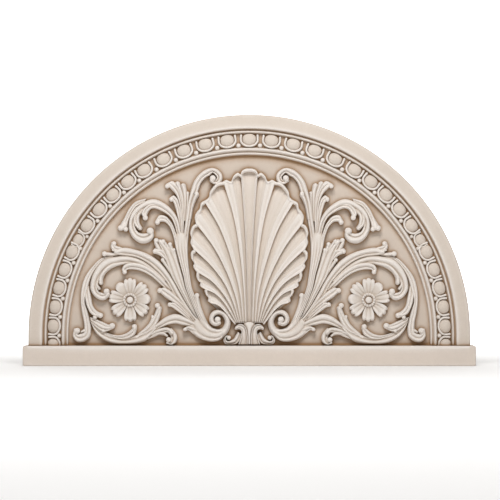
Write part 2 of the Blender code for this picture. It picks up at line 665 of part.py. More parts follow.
blank_points, blank_faces = panel_blank()
carved_panel = mesh_object("carved_panel", blank_points, blank_faces, object_collection, False)
kept = carved_panel.vertex_groups.new(name="moulding")
kept.add(range(len(blank_points)), 1.0, "REPLACE")
joined = carved_panel.modifiers.new("carving", "BOOLEAN")
joined.operation = "UNION"
joined.solver = "EXACT"
joined.operand_type = "COLLECTION"
joined.collection = carving_collection
facets = carved_panel.modifiers.new("small facets joined", "DECIMATE")
facets.decimate_type = "COLLAPSE"
facets.ratio = FACETS_KEPT
facets.use_symmetry = True
facets.symmetry_axis = "X"
facets.vertex_group = "moulding"
facets.invert_vertex_group = True
carved_panel.data.materials.append(material("carved stone", (0.72, 0.65, 0.56), 0.85))

ledge = base_ledge(object_collection)
ledge.data.materials.append(material("ledge stone", (0.72, 0.65, 0.56), 0.85))
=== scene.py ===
# Half-round carved stone panel for over a door, seen straight on in soft light.
# Metres, front towards -Y. The carving is drawn in millimetres: left of the centre line, above
# the ledge, and proud of the ground.

import math

import bmesh
import bpy
import numpy as np
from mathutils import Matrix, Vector
from mathutils.bvhtree import BVHTree


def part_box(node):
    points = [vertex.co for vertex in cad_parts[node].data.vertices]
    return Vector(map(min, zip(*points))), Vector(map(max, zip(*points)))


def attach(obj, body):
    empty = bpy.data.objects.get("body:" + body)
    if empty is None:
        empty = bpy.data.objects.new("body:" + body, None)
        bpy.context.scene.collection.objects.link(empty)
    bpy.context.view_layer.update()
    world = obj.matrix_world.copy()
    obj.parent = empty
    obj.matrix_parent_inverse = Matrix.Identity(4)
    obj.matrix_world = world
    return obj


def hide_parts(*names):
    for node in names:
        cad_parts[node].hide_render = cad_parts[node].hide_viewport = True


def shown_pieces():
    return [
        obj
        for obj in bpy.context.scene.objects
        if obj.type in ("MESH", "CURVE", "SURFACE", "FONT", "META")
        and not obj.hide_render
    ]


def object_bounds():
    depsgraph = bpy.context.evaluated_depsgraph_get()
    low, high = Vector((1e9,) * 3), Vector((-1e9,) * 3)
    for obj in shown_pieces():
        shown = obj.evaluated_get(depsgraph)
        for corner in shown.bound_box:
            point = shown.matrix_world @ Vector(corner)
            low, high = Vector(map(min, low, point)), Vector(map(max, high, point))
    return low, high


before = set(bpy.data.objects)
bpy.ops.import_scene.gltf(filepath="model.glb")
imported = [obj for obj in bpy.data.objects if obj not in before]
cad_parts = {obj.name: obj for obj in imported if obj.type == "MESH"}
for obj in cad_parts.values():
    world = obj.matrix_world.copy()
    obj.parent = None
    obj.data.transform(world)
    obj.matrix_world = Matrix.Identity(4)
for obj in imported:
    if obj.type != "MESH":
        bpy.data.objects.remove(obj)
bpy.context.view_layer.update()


# Base ledge: a straight course of pale, fine-grained limestone, rubbed flat, its edges just
# eased. The arched panel stands on its top, a little behind its front.
LEDGE_EDGE = 0.004
LEDGE_STEP = 0.006
CORNER_STEPS = 6
SIDE_STEPS = 10
ledge_low, ledge_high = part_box("base_ledge")


class Shade:
    """A socket of a material's tree. Arithmetic on it adds Math nodes; add() makes any other."""

    def __init__(self, tree, socket=None):
        self.tree = tree
        self.socket = socket

    def add(self, kind, settings=None, values=None, output=0):
        node = self.tree.nodes.new(kind)
        for name, value in (settings or {}).items():
            setattr(node, name, value)
        for name, value in (values or {}).items():
            if isinstance(value, Shade):
                self.tree.links.new(value.socket, node.inputs[name])
            else:
                node.inputs[name].default_value = value
        return Shade(self.tree, node.outputs[output])

    def math(self, operation, first, second):
        settings = {"operation": operation}
        return self.add("ShaderNodeMath", settings, {0: first, 1: second})

    def __add__(self, other):
        return self.math("ADD", self, other)

    __radd__ = __add__

    def __sub__(self, other):
        return self.math("SUBTRACT", self, other)

    def __mul__(self, other):
        return self.math("MULTIPLY", self, other)

    def clamped(self):
        settings = {"operation": "ADD", "use_clamp": True}
        return self.add("ShaderNodeMath", settings, {0: self, 1: 0.0})

    def ramp(self, low, high):
        """0 below low, 1 above high, and an even rise between them."""
        values = {"Value": self, "From Min": low, "From Max": high}
        return self.add("ShaderNodeMapRange", None, values)

    def mixed(self, first, second):
        """First colour where this is 0, second where it is 1."""
        settings = {"data_type": "RGBA"}
        return self.add("ShaderNodeMix", settings, {0: self, 6: first, 7: second}, 2)


def stone(name, pale, worn_and_highlight, dust_and_shade, dust_and_shade_depth):
    """Stone with brown painted shade and dust in its hollows, and its crests worn paler with a
    painted highlight.

    The attribute "hollow" says how deep a place lies between its neighbours, from -1 on a crest
    to 1.5 in a crevice. The painted shade and dust are about half on where the hollow comes up to
    the last argument.
    """
    material = bpy.data.materials.new(name)
    material.use_nodes = True
    tree = material.node_tree
    shader = tree.nodes["Principled BSDF"]
    start = Shade(tree)
    where = start.add("ShaderNodeTexCoord", output=3)

    def noise(scale, detail, roughness=0.5):
        values = {"Vector": where, "Scale": scale, "Detail": detail, "Roughness": roughness}
        return start.add("ShaderNodeTexNoise", None, values)

    clouds = noise(9.0, 4.0)
    mottle = noise(70.0, 4.0, 0.6)
    grain = noise(520.0, 3.0, 0.7)
    speck = noise(1500.0, 1.0)
    hollow = start.add("ShaderNodeAttribute", {"attribute_name": "hollow"}, output=2)
    # Painted shade, with some dust: the hollows take a brown half tone.
    depth = (hollow + (mottle - 0.5) * 0.25).ramp(0.02, dust_and_shade_depth)
    # Painted highlight, with some wear: the crests take the paler tone.
    crest_highlight = (hollow * -1.0 + (grain - 0.5) * 0.3).ramp(0.05, 0.6)
    tone = ((clouds - 0.5) * 0.6 + (mottle - 0.5) * 0.5 + (grain - 0.5) * 0.7 + 0.5).clamped()
    shaded = tuple(c * 0.86 for c in pale[:3]) + (1.0,)
    flat = tone.mixed(shaded, pale)
    edged = (crest_highlight * 0.75).mixed(flat, worn_and_highlight)
    # Half tone between the stone and the brown of the painted shade and dust.
    soft_dust_and_shade = tuple((a + b) / 2 for a, b in zip(pale, dust_and_shade))
    dusted_and_shaded = (depth * 0.5).mixed(edged, soft_dust_and_shade)
    # Painted shade, with some dust: the deepest crevices take the full brown.
    deep = (hollow + (mottle - 0.5) * 0.2).ramp(dust_and_shade_depth * 0.55, dust_and_shade_depth * 1.9)
    colour = (deep * 0.85).mixed(dusted_and_shaded, dust_and_shade)
    dots = speck.ramp(0.66, 0.72)
    tree.links.new((dots * 0.18).mixed(colour, dust_and_shade).socket, shader.inputs["Base Color"])
    rough = 0.78 + grain * 0.16 + depth * 0.06
    tree.links.new(rough.socket, shader.inputs["Roughness"])
    height = grain * 0.7 + mottle * 1.2 + speck * 0.25
    bump = start.add("ShaderNodeBump", None, {"Strength": 0.45, "Distance": 0.0005, "Height": height})
    tree.links.new(bump.socket, shader.inputs["Normal"])
    shader.inputs["Specular IOR Level"].default_value = 0.25
    return material


ledge_stone = stone(
    "ledge stone", pale=(0.73, 0.645, 0.57, 1.0), worn_and_highlight=(0.81, 0.76, 0.72, 1.0),
    dust_and_shade=(0.33, 0.22, 0.13, 1.0), dust_and_shade_depth=0.6)


def solid_mesh(name, points, faces):
    """A smooth closed mesh with its faces turned outwards."""
    mesh = bpy.data.meshes.new(name)
    mesh.from_pydata(np.asarray(points).reshape(-1, 3).tolist(), [], faces)
    shape = bmesh.new()
    shape.from_mesh(mesh)
    bmesh.ops.remove_doubles(shape, verts=shape.verts, dist=1e-6)
    bmesh.ops.recalc_face_normals(shape, faces=shape.faces)
    shape.to_mesh(mesh)
    shape.free()
    mesh.shade_smooth()
    return mesh


def linked(name, data):
    """A new object in the scene, at the origin and unturned."""
    made = bpy.data.objects.new(name, data)
    bpy.context.scene.collection.objects.link(made)
    return made


def finished(piece, material, node, slot):
    """Gives a piece its stone, hangs it under the root and hides the model's part for its node."""
    if not piece.data.materials:
        piece.data.materials.append(material)
    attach(piece, "root")
    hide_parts(node)
    return piece


def mesh_piece(name, points, faces, **of):
    return finished(linked(name, solid_mesh(name, points, faces)), **of)


def tube_faces(rings, count, start=0):
    """Quads between closed rings of equal count, and a cap on each end."""
    faces = []
    for r in range(rings - 1):
        low = start + r * count
        for i in range(count):
            j = (i + 1) % count
            faces.append((low + i, low + j, low + count + j, low + count + i))
    faces.append(tuple(range(start + count - 1, start - 1, -1)))
    end = start + (rings - 1) * count
    faces.append(tuple(range(end, end + count)))
    return faces


def ledge_ring(inset):
    """Rounded outline of the ledge's end, drawn in by inset, with points along its sides."""
    half = np.array([ledge_high.y - ledge_low.y, ledge_high.z - ledge_low.z]) / 2 - inset
    middle = np.array([ledge_high.y + ledge_low.y, ledge_high.z + ledge_low.z]) / 2
    bend = LEDGE_EDGE - inset
    ring = []
    for corner, (sy, sz) in enumerate([(1, 1), (-1, 1), (-1, -1), (1, -1)]):
        centre = middle + np.array([sy, sz]) * (half - bend)
        for step in range(CORNER_STEPS + 1):
            angle = math.pi / 2 * (corner + step / CORNER_STEPS)
            ring.append(centre + bend * np.array([math.cos(angle), math.sin(angle)]))
        straight = half[corner % 2] * 2 - 2 * bend
        along = [(-1, 0), (0, -1), (1, 0), (0, 1)][corner]
        last = ring[-1]
        for step in range(1, SIDE_STEPS):
            ring.append(last + np.array(along) * straight * step / SIDE_STEPS)
    return np.array(ring)


end_turns = np.linspace(0, math.pi / 2, CORNER_STEPS + 1)
end_insets = LEDGE_EDGE * (1 - np.sin(end_turns))
end_places = ledge_low.x + LEDGE_EDGE * (1 - np.cos(end_turns))
run_start = ledge_low.x + LEDGE_EDGE + LEDGE_STEP
run = np.arange(run_start, ledge_high.x - LEDGE_EDGE - LEDGE_STEP / 2, LEDGE_STEP)
places = np.concatenate([end_places, run, -end_places[::-1]])
insets = np.concatenate([end_insets, run * 0, end_insets[::-1]])
ledge_points = []
for x, inset in zip(places, insets):
    ring = ledge_ring(inset)
    ledge_points.append(np.column_stack([np.full(len(ring), x), ring]))
base_ledge = mesh_piece(
    "ledge", ledge_points, tube_faces(len(places), len(ledge_ring(0))), material=ledge_stone,
    node="base_ledge", slot="ledge_stone")


# Slab and arch moulding: the half-round stone itself, sawn flat at the back. Its edge is run with
# a flat band, a quirk and fillet, a sunk course for the eggs, and two round beads that drop to the
# sunk ground.
STILT = 26.5
SLAB = 45.0
SUNK = 3.0
ARCH_RADIUS = 586.0
INNER_RADIUS = 479.4
BAND_TOP = 26.0
EASED_EDGE = 5.0
EGG_BED = 7.0
ARCH_STEP = 0.3
panel_low, panel_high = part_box("carved_panel")
carved_stone = stone(
    "carved stone", pale=(0.67, 0.59, 0.515, 1.0), worn_and_highlight=(0.81, 0.765, 0.725, 1.0),
    dust_and_shade=(0.33, 0.185, 0.08, 1.0), dust_and_shade_depth=0.6)
of_panel = {"material": carved_stone, "node": "carved_panel", "slot": "panel_stone"}


def placed(left, up, proud):
    """World points from drawn ones."""
    left, up, proud = np.broadcast_arrays(left, up, proud)
    y = panel_high.y - (SLAB + proud) / 1000
    return np.stack([-left / 1000, y, panel_low.z + up / 1000], axis=-1)


def smooth(stations, at, wanted):
    """Values on a smooth line through the stations, which lie at these places along it."""
    slope = np.diff(stations, axis=0) / np.diff(at)[:, None]
    gap = np.diff(at)[:, None]
    tangent = np.empty_like(stations)
    tangent[0], tangent[-1] = slope[0], slope[-1]
    tangent[1:-1] = (slope[1:] * gap[:-1] + slope[:-1] * gap[1:]) / (gap[1:] + gap[:-1])
    i = np.clip(np.searchsorted(at, wanted, side="right") - 1, 0, len(at) - 2)
    h = (at[i + 1] - at[i])[:, None]
    t = (wanted - at[i])[:, None] / h
    return (stations[i] * (2 * t**3 - 3 * t**2 + 1) + tangent[i] * h * (t**3 - 2 * t**2 + t)
            + stations[i + 1] * (3 * t**2 - 2 * t**3) + tangent[i + 1] * h * (t**3 - t**2))


def bead(outer, inner, base_outer, base_inner, top, count=9):
    """Half-round bead between two radii, rising to top."""
    rows = []
    for i in range(count):
        t = i / (count - 1)
        base = base_outer + (base_inner - base_outer) * t
        rise = math.sin(math.pi * t) ** 0.8
        rows.append((outer + (inner - outer) * t, base + (top - base) * rise))
    return rows


profile = [(ARCH_RADIUS, 0.0), (ARCH_RADIUS, 10.0)]
for turn in np.linspace(0, math.pi / 2, 6):
    inward, outward = EASED_EDGE * (1 - math.cos(turn)), EASED_EDGE * math.sin(turn)
    profile.append((ARCH_RADIUS - inward, BAND_TOP - EASED_EDGE + outward))
profile += [(radius, BAND_TOP) for radius in (575.0, 569.0, 563.0, 558.0, 554.0, 552.0)]
profile += [(551.0, 25.4), (550.2, 24.0), (549.0, 18.0), (547.5, 13.0), (546.0, 11.5)]
profile += bead(545.4, 537.0, 12.0, 9.0, 19.0)
profile.append((535.8, 6.6))
profile += [(radius, EGG_BED) for radius in (531.0, 526.0, 521.0, 516.0, 511.0, 506.0)]
profile.append((502.0, 6.8))
profile += bead(500.5, 488.8, 6.5, 8.5, 19.0, 13)
profile += bead(487.4, 480.4, 8.2, 6.0, 13.0)
profile += [(INNER_RADIUS + 0.4, 2.0), (INNER_RADIUS, 0.0), (INNER_RADIUS, -SUNK)]
profile = np.array(profile)

quarter = np.arange(0.0, 90.0 + ARCH_STEP / 2, ARCH_STEP)
feet = np.linspace(0, STILT, 12)[1:]
stations = [(math.sin(math.radians(a)), math.cos(math.radians(a)), 0.0) for a in quarter[::-1]]
stations = [(1.0, 0.0, -drop) for drop in feet[::-1]] + stations
stations += [(-s, c, d) for s, c, d in stations[-2::-1]]
slab_points = []
for sine, cosine, drop in stations:
    front = placed(profile[:, 0] * sine, STILT + drop + profile[:, 0] * cosine, profile[:, 1])
    back = placed(profile[0, 0] * sine, STILT + drop + profile[0, 0] * cosine, -SLAB)
    slab_points.append(np.vstack([front, back[None]]))
count = len(profile) + 1
slab_faces = []
for s in range(len(stations) - 1):
    low = s * count
    slab_faces += [(low + i, low + i + 1, low + count + i + 1, low + count + i) for i in range(count - 2)]
    slab_faces.append((low + count - 1, low, low + count, low + 2 * count - 1))
steps = len(stations)
slab_faces.append(tuple(s * count + count - 2 for s in range(steps)))
slab_faces.append(tuple(s * count + count - 1 for s in range(steps)))
end = (steps - 1) * count
slab_faces.append(
    (count - 1, *range(count - 1), *(end + i for i in reversed(range(count - 1))), end + count - 1))
slab = mesh_piece("slab_and_moulding", slab_points, slab_faces, **of_panel)


# Sunk ground of the relief: the face that the carver leaves flat between the leaves, where painted
# shade and dust are laid against everything that stands on it.
GROUND_STEP = 2.2
GROUND_REACH = INNER_RADIUS + 3.6

across = np.arange(-GROUND_REACH, GROUND_REACH + GROUND_STEP, GROUND_STEP)
upward = np.arange(0.0, STILT + GROUND_REACH, GROUND_STEP)
left, up = np.meshgrid(across, upward)
inside = np.hypot(left, np.maximum(up - STILT, 0)) <= GROUND_REACH
columns = len(across)
ground_faces = []
for r, c in zip(*np.nonzero(inside[:-1, :-1] & inside[1:, :-1] & inside[:-1, 1:] & inside[1:, 1:])):
    low = int(r) * columns + int(c)
    ground_faces.append((low, low + 1, low + columns + 1, low + columns))
sheet = bmesh.new()
mesh = bpy.data.meshes.new("sheet")
mesh.from_pydata(placed(left, up, 0.0).reshape(-1, 3).tolist(), [], ground_faces)
sheet.from_mesh(mesh)
bpy.data.meshes.remove(mesh)
bmesh.ops.delete(sheet, geom=[v for v in sheet.verts if not v.link_faces], context="VERTS")
rim = [e for e in sheet.edges if e.is_boundary]
lower = bmesh.ops.extrude_edge_only(sheet, edges=rim)["geom"]
for v in [g for g in lower if isinstance(g, bmesh.types.BMVert)]:
    v.co.y += (SUNK - 0.5) / 1000
bmesh.ops.edgeloop_fill(sheet, edges=[g for g in lower if isinstance(g, bmesh.types.BMEdge)])
bmesh.ops.recalc_face_normals(sheet, faces=sheet.faces)
mesh = bpy.data.meshes.new("ground")
sheet.to_mesh(mesh)
sheet.free()
ground = finished(linked("ground", mesh), **of_panel)


# Egg-and-dart course, carved in the sunk part of the moulding: domed eggs, each in its own
# U-shaped rim that opens on the fillet, with a small pearl between every two rims. The last egg of
# each side is cut by the ledge.
EGG_LINE = 520.0
DART_LINE = 505.0
EGG_SIDES = 32
CROWN_STEP, SHOULDER_STEP, HAUNCH_STEP = 6.49, 5.85, 5.63
egg_turns = [CROWN_STEP * i for i in range(6)]
egg_turns += [egg_turns[-1] + SHOULDER_STEP * (i + 1) for i in range(4)]
LAPPED_EGG, LAPPED_SIZE = 60.8, 0.86
HAUNCH_START = 64.7
egg_spots = [(turn, 1.0) for turn in egg_turns] + [(LAPPED_EGG, LAPPED_SIZE)]
egg_spots += [(HAUNCH_START + HAUNCH_STEP * i, 1.0) for i in range(6)]
dart_spots = []
for (near, _), (far, size) in zip(egg_spots[:-1], egg_spots[1:]):
    dart_spots.append((near + (far - near) * (0.56 if size < 1 else 0.5), 0.85 if size < 1 else 1.0))


def egg_shape(half_width, half_length, top):
    """Dome on a short upright foot, squarer towards the fillet than towards the bead."""
    foot = top * 0.25
    rings = [(1.0, -SUNK), (1.0, foot)]
    rings += [(math.cos(a), foot + (top - foot) * math.sin(a)) for a in np.linspace(0.15, 1.5, 10)]
    points = []
    for size, proud in rings:
        for i in range(EGG_SIDES):
            turn = 2 * math.pi * i / EGG_SIDES
            c, s = math.cos(turn), math.sin(turn)
            x = half_width * size * math.copysign(abs(c) ** (0.9 if s > 0 else 1.0), c)
            z = half_length * size * math.copysign(abs(s) ** (0.8 if s > 0 else 1.0), s)
            points.append((x / 1000, -proud / 1000, z / 1000))
    return points, tube_faces(len(rings), EGG_SIDES)


def rim_shape(half_width, depth, leg, thick, top):
    """Round rod bent to a U that opens upwards, with rounded ends."""
    path = [(half_width - 1.2, leg + 2.0, 0.5), (half_width - 1.0, leg + 1.2, 0.8)]
    path.append((half_width - 0.8, leg, 1.0))
    path += [(half_width - 0.8 * t * t, leg * t, 1.0) for t in (0.75, 0.5, 0.25)]
    turns = np.linspace(0, math.pi, 27)
    path += [(half_width * math.cos(a), -depth * math.sin(a), 1.0) for a in turns]
    path += [(-x, z, size) for x, z, size in path[5::-1]]
    path = np.array(path)
    along = np.gradient(path[:, :2], axis=0)
    side = np.column_stack([along[:, 1], -along[:, 0]])
    side /= np.linalg.norm(side, axis=1)[:, None]
    round_top = [(-math.cos(a), math.sin(a) ** 0.6) for a in np.linspace(0.15, math.pi - 0.15, 9)]
    section = [(-1, -0.5), *round_top, (1, -0.5)]
    points = []
    for (x, z, size), (sx, sz) in zip(path, side):
        for across, proud in section:
            w = thick / 2 * across * size
            y = -top * proud * (0.6 + 0.4 * size)
            points.append(((x + sx * w) / 1000, y / 1000, (z + sz * w) / 1000))
    return points, tube_faces(len(path), len(section))


def copying_tree(name, inputs, nodes, links):
    """A tree from its named inputs, nodes and links that ends in real copies with the stone on."""
    tree = bpy.data.node_groups.new(name, "GeometryNodeTree")
    for socket, kind in (*inputs.items(), ("Stone", "Material")):
        tree.interface.new_socket(name=socket, in_out="INPUT", socket_type="NodeSocket" + kind)
    tree.interface.new_socket(name="Copies", in_out="OUTPUT", socket_type="NodeSocketGeometry")
    ends = {"real": ("GeometryNodeRealizeInstances", {}), "stone": ("GeometryNodeSetMaterial", {})}
    made = {"inputs": tree.nodes.new("NodeGroupInput")}
    for key, (kind, values) in (nodes | ends).items():
        made[key] = tree.nodes.new(kind)
        for socket, value in values.items():
            made[key].inputs[socket].default_value = value
    made["copies"] = tree.nodes.new("NodeGroupOutput")
    links += [("real", "Geometry", "stone", "Geometry"), ("inputs", "Stone", "stone", "Material"),
              ("stone", "Geometry", "copies", "Copies")]
    for source, output, target, socket in links:
        tree.links.new(made[source].outputs[output], made[target].inputs[socket])
    return tree


def grown(name, host, tree, values):
    """The plain mesh that a tree makes on a host object, as a finished piece of carved stone."""
    modifier = host.modifiers.new("copies", "NODES")
    modifier.node_group = tree
    for item in tree.interface.items_tree:
        if item.in_out == "INPUT" and item.name in values:
            modifier[item.identifier] = values[item.name]
    modifier[tree.interface.items_tree["Stone"].identifier] = carved_stone
    graph = bpy.context.evaluated_depsgraph_get()
    mesh = bpy.data.meshes.new_from_object(host.evaluated_get(graph))
    host.modifiers.remove(modifier)
    bpy.data.objects.remove(host)
    return finished(linked(name, mesh), **of_panel)


def course(name, spots, line, shape):
    """Copies of one shape along the arch, cut off level where the ledge laps them."""
    points, turns, sizes = [], [], []
    for turn, size in spots:
        for side in (1, -1) if turn else (1,):
            angle = math.radians(min(turn, 90.0))
            drop = math.radians(turn - min(turn, 90.0)) * EGG_LINE
            up = STILT + line * math.cos(angle) - drop
            points.append(placed(side * line * math.sin(angle), up, EGG_BED))
            turns.append(-side * angle)
            sizes.append(size)
    mesh = bpy.data.meshes.new(name + " spots")
    mesh.from_pydata(np.array(points).tolist(), [], [])
    mesh.attributes.new("turn", "FLOAT", "POINT").data.foreach_set("value", turns)
    mesh.attributes.new("size", "FLOAT", "POINT").data.foreach_set("value", sizes)
    host = linked(name + " spots", mesh)
    pattern = linked(name + " pattern", solid_mesh(name + " pattern", *shape))
    piece = grown(name, host, arch_tree, {"Shape": pattern})
    bpy.data.objects.remove(pattern)
    cut = bmesh.new()
    cut.from_mesh(piece.data)
    foot = {"plane_co": (0.0, 0.0, panel_low.z), "plane_no": (0.0, 0.0, -1.0), "clear_outer": True}
    kept = bmesh.ops.bisect_plane(cut, geom=[*cut.verts, *cut.edges, *cut.faces], dist=1e-6, **foot)
    bmesh.ops.holes_fill(cut, edges=[e for e in kept["geom_cut"] if isinstance(e, bmesh.types.BMEdge)])
    cut.to_mesh(piece.data)
    cut.free()
    return piece


arch_tree = copying_tree(
    "shapes along the arch", {"Spots": "Geometry", "Shape": "Object"}, {
        "shape": ("GeometryNodeObjectInfo", {}),
        "turn": ("GeometryNodeInputNamedAttribute", {"Name": "turn"}),
        "size": ("GeometryNodeInputNamedAttribute", {"Name": "size"}),
        "angles": ("ShaderNodeCombineXYZ", {}),
        "on_spots": ("GeometryNodeInstanceOnPoints", {})}, [
        ("inputs", "Spots", "on_spots", "Points"), ("inputs", "Shape", "shape", "Object"),
        ("shape", "Geometry", "on_spots", "Instance"), ("turn", "Attribute", "angles", "Y"),
        ("angles", "Vector", "on_spots", "Rotation"), ("size", "Attribute", "on_spots", "Scale"),
        ("on_spots", "Instances", "real", "Geometry")])
eggs = course("eggs", egg_spots, EGG_LINE, egg_shape(18.6, 16.2, 15.5))
course("egg_rims", egg_spots, EGG_LINE, rim_shape(22.5, 16.8, 12.0, 6.4, 13.0))
course("darts", dart_spots, DART_LINE, egg_shape(6.2, 6.2, 11.5))


# Scallop shell: the middle of the relief, cut from the slab. Its flutes fan out from the root,
# each a hollow beside a rounded rib with a sharp crease after it, and end under a rolled,
# scalloped rim.
SHELL_CREASES = [
    [(0, 60), (0, 162), (0, 265), (0, 368), (0, 470)],
    [(4, 60), (6.5, 158), (9.5, 256), (15.5, 355), (23, 454)],
    [(11, 60), (15.5, 150), (25.5, 245), (41.5, 340), (70, 435)],
    [(17, 60), (26.5, 145), (49, 231), (78.5, 311), (121, 384)],
    [(22, 60), (37, 130), (62, 198), (96.5, 263), (142, 323)],
    [(27, 60), (44, 116), (69, 169), (104, 214), (148, 255)],
    [(31, 60), (48, 101), (72, 140), (101, 171), (140, 195)],
    [(35, 60), (51, 88), (67.5, 113.5), (89, 136), (118, 150)],
    [(38, 55), (52.5, 73), (66, 91), (83.5, 107), (103, 113)],
]
SHELL_RIMS = [
    [(6, 470), (12, 468.5), (17, 466), (21, 461)],
    [(31, 459), (42, 450), (49, 436), (61, 440)],
    [(86, 431), (104, 410), (107, 395), (115, 387)],
    [(129, 378), (132, 364), (139, 355), (145, 341)],
    [(151, 317), (157, 299), (154, 286), (156, 272)],
    [(155, 247), (154, 231), (147, 219), (149, 209)],
    [(141, 185), (136, 172), (130, 168), (131, 158)],
    [(119, 144), (114, 133), (109, 127), (110, 118)],
]
RIM_PLACES = [0.0, 0.2, 0.42, 0.62, 0.82, 1.0]
MIDDLE_FLUTE = [(0, 0.68), (0.3, 0.69), (0.55, 0.74), (0.72, 0.86), (0.82, 0.98), (0.9, 0.95), (0.95, 0.86),
                (1.0, 0.58)]
SIDE_FLUTE = [(0, 0.52), (0.04, 0.6), (0.12, 0.64), (0.25, 0.68), (0.4, 0.76), (0.52, 0.87), (0.6, 0.94),
              (0.67, 0.95), (0.76, 0.93), (0.86, 0.97), (0.95, 1.03), (0.985, 0.92), (1.0, 0.52)]
SHELL_TOP = 28.0
SHELL_FINENESS = 28
SHELL_ROWS = 112
ROW_CROWDING = 1.8
RIM_ROLL = 9.6
REEDS = 7
REED_HEIGHT = 0.014
UNDERCUTS = [0.8, 0.8, 1.0, 1.0, 0.8, 0.5, 0.2, 0.1]
UNDERCUT_REACH = 20.0


def shell_column(lobe, u):
    """One line of the shell from its root to its rim: drawn places and heights."""
    upper = np.array(SHELL_CREASES[lobe], float)
    lower = np.array(SHELL_CREASES[lobe + 1], float)
    ends = np.array([upper[-1], *SHELL_RIMS[lobe], lower[-1]], float)
    rim = smooth(ends, np.array(RIM_PLACES), np.array([u]))[0]
    t = 1 - (1 - np.linspace(0, 1, SHELL_ROWS)) ** ROW_CROWDING
    middle = smooth(upper + (lower - upper) * u, np.linspace(0, 1, 5), t)
    middle += (rim - middle[-1]) * t[:, None] ** 3
    flute = np.array(MIDDLE_FLUTE if lobe == 0 else SIDE_FLUTE, float)
    part = smooth(flute[:, 1:], flute[:, 0], np.array([u]))[0, 0]
    part += REED_HEIGHT * math.cos(2 * math.pi * REEDS * u) * math.sin(math.pi * u)
    to_rim = np.linalg.norm(middle[-1] - middle, axis=1)
    body = part * (0.62 + 0.38 * np.minimum(1, t * 1.6))
    undercut = UNDERCUTS[lobe] * max(0.0, 0.95 - part)
    body -= undercut * np.exp(-((np.maximum(0, to_rim - RIM_ROLL) / UNDERCUT_REACH) ** 2))
    across = np.clip(2 * to_rim / RIM_ROLL - 1, -1, 1)
    roll = 0.6 + 0.44 * np.sqrt(1 - across ** 2)
    inner_roll = np.where(to_rim < RIM_ROLL, np.maximum(roll, body), body)
    height = np.where(to_rim < RIM_ROLL / 2, roll, inner_roll)
    return middle, SHELL_TOP * np.clip(height, 0.3, 1.05)


shell_columns = []
for lobe in range(len(SHELL_RIMS)):
    fineness = np.linspace(0, 1, SHELL_FINENESS + 1)
    if lobe < len(SHELL_RIMS) - 1:
        fineness = fineness[:-1]
    for u in fineness:
        middle, height = shell_column(lobe, u)
        shell_columns.append(np.column_stack([middle, height]))
shell_points = []
for column in [c * np.array([-1, 1, 1]) for c in shell_columns[:0:-1]] + shell_columns:
    foot = np.array([[*column[-1, :2], -SUNK], [*column[0, :2], -SUNK]])
    whole = np.vstack([column, foot])
    shell_points.append(placed(whole[:, 0], whole[:, 1], whole[:, 2]))
shell_faces = tube_faces(len(shell_points), SHELL_ROWS + 2)
shell = mesh_piece("shell", shell_points, shell_faces, **of_panel)


# Lower volute and its stems: the broad band that rolls up beside the shell's root, and the bundle
# of stalks that all on that side grows from. Each is cut from the slab as rounded reeds side by
# side, with a rounded tip, and where two cross they run into one another.
CREASE = 0.8
EDGE = 0.28
LEAF_STEP = 2.2
TIP_SWELL = 0.1
SIDES = {"left": 1, "right": -1}


def reeds(*parts):
    """Cross-section of a leaf: rounded reeds side by side, as their far edges and heights."""
    section = [(0.0, -1.0)]
    start, floor = 0.0, EDGE
    for number, (end, height) in enumerate(parts):
        last = number == len(parts) - 1
        after = EDGE if last else CREASE * min(height, parts[number + 1][1])
        count = max(5, round(11 * (end - start)) + 3)
        for i in range(count + last):
            t = (1 - math.cos(math.pi * i / count)) / 2
            base = floor + (after - floor) * t
            rise = math.sin(math.pi * t) ** 0.6
            section.append((start + (end - start) * t, base + (height - base) * rise))
        start, floor = end, after
    return np.array(section + [(1.0, -1.0)])


ONE = reeds((1.0, 1.0))
BAND = reeds((0.62, 1.0), (1.0, 0.8))
PAIR = reeds((0.5, 0.98), (1.0, 1.0))
TRIO = reeds((0.28, 0.95), (0.7, 1.0), (1.0, 0.92))
QUAD = reeds((0.25, 0.93), (0.5, 1.0), (0.76, 0.96), (1.0, 0.98))
EDGED = reeds((0.2, 1.0), (0.8, 0.86), (1.0, 0.98))


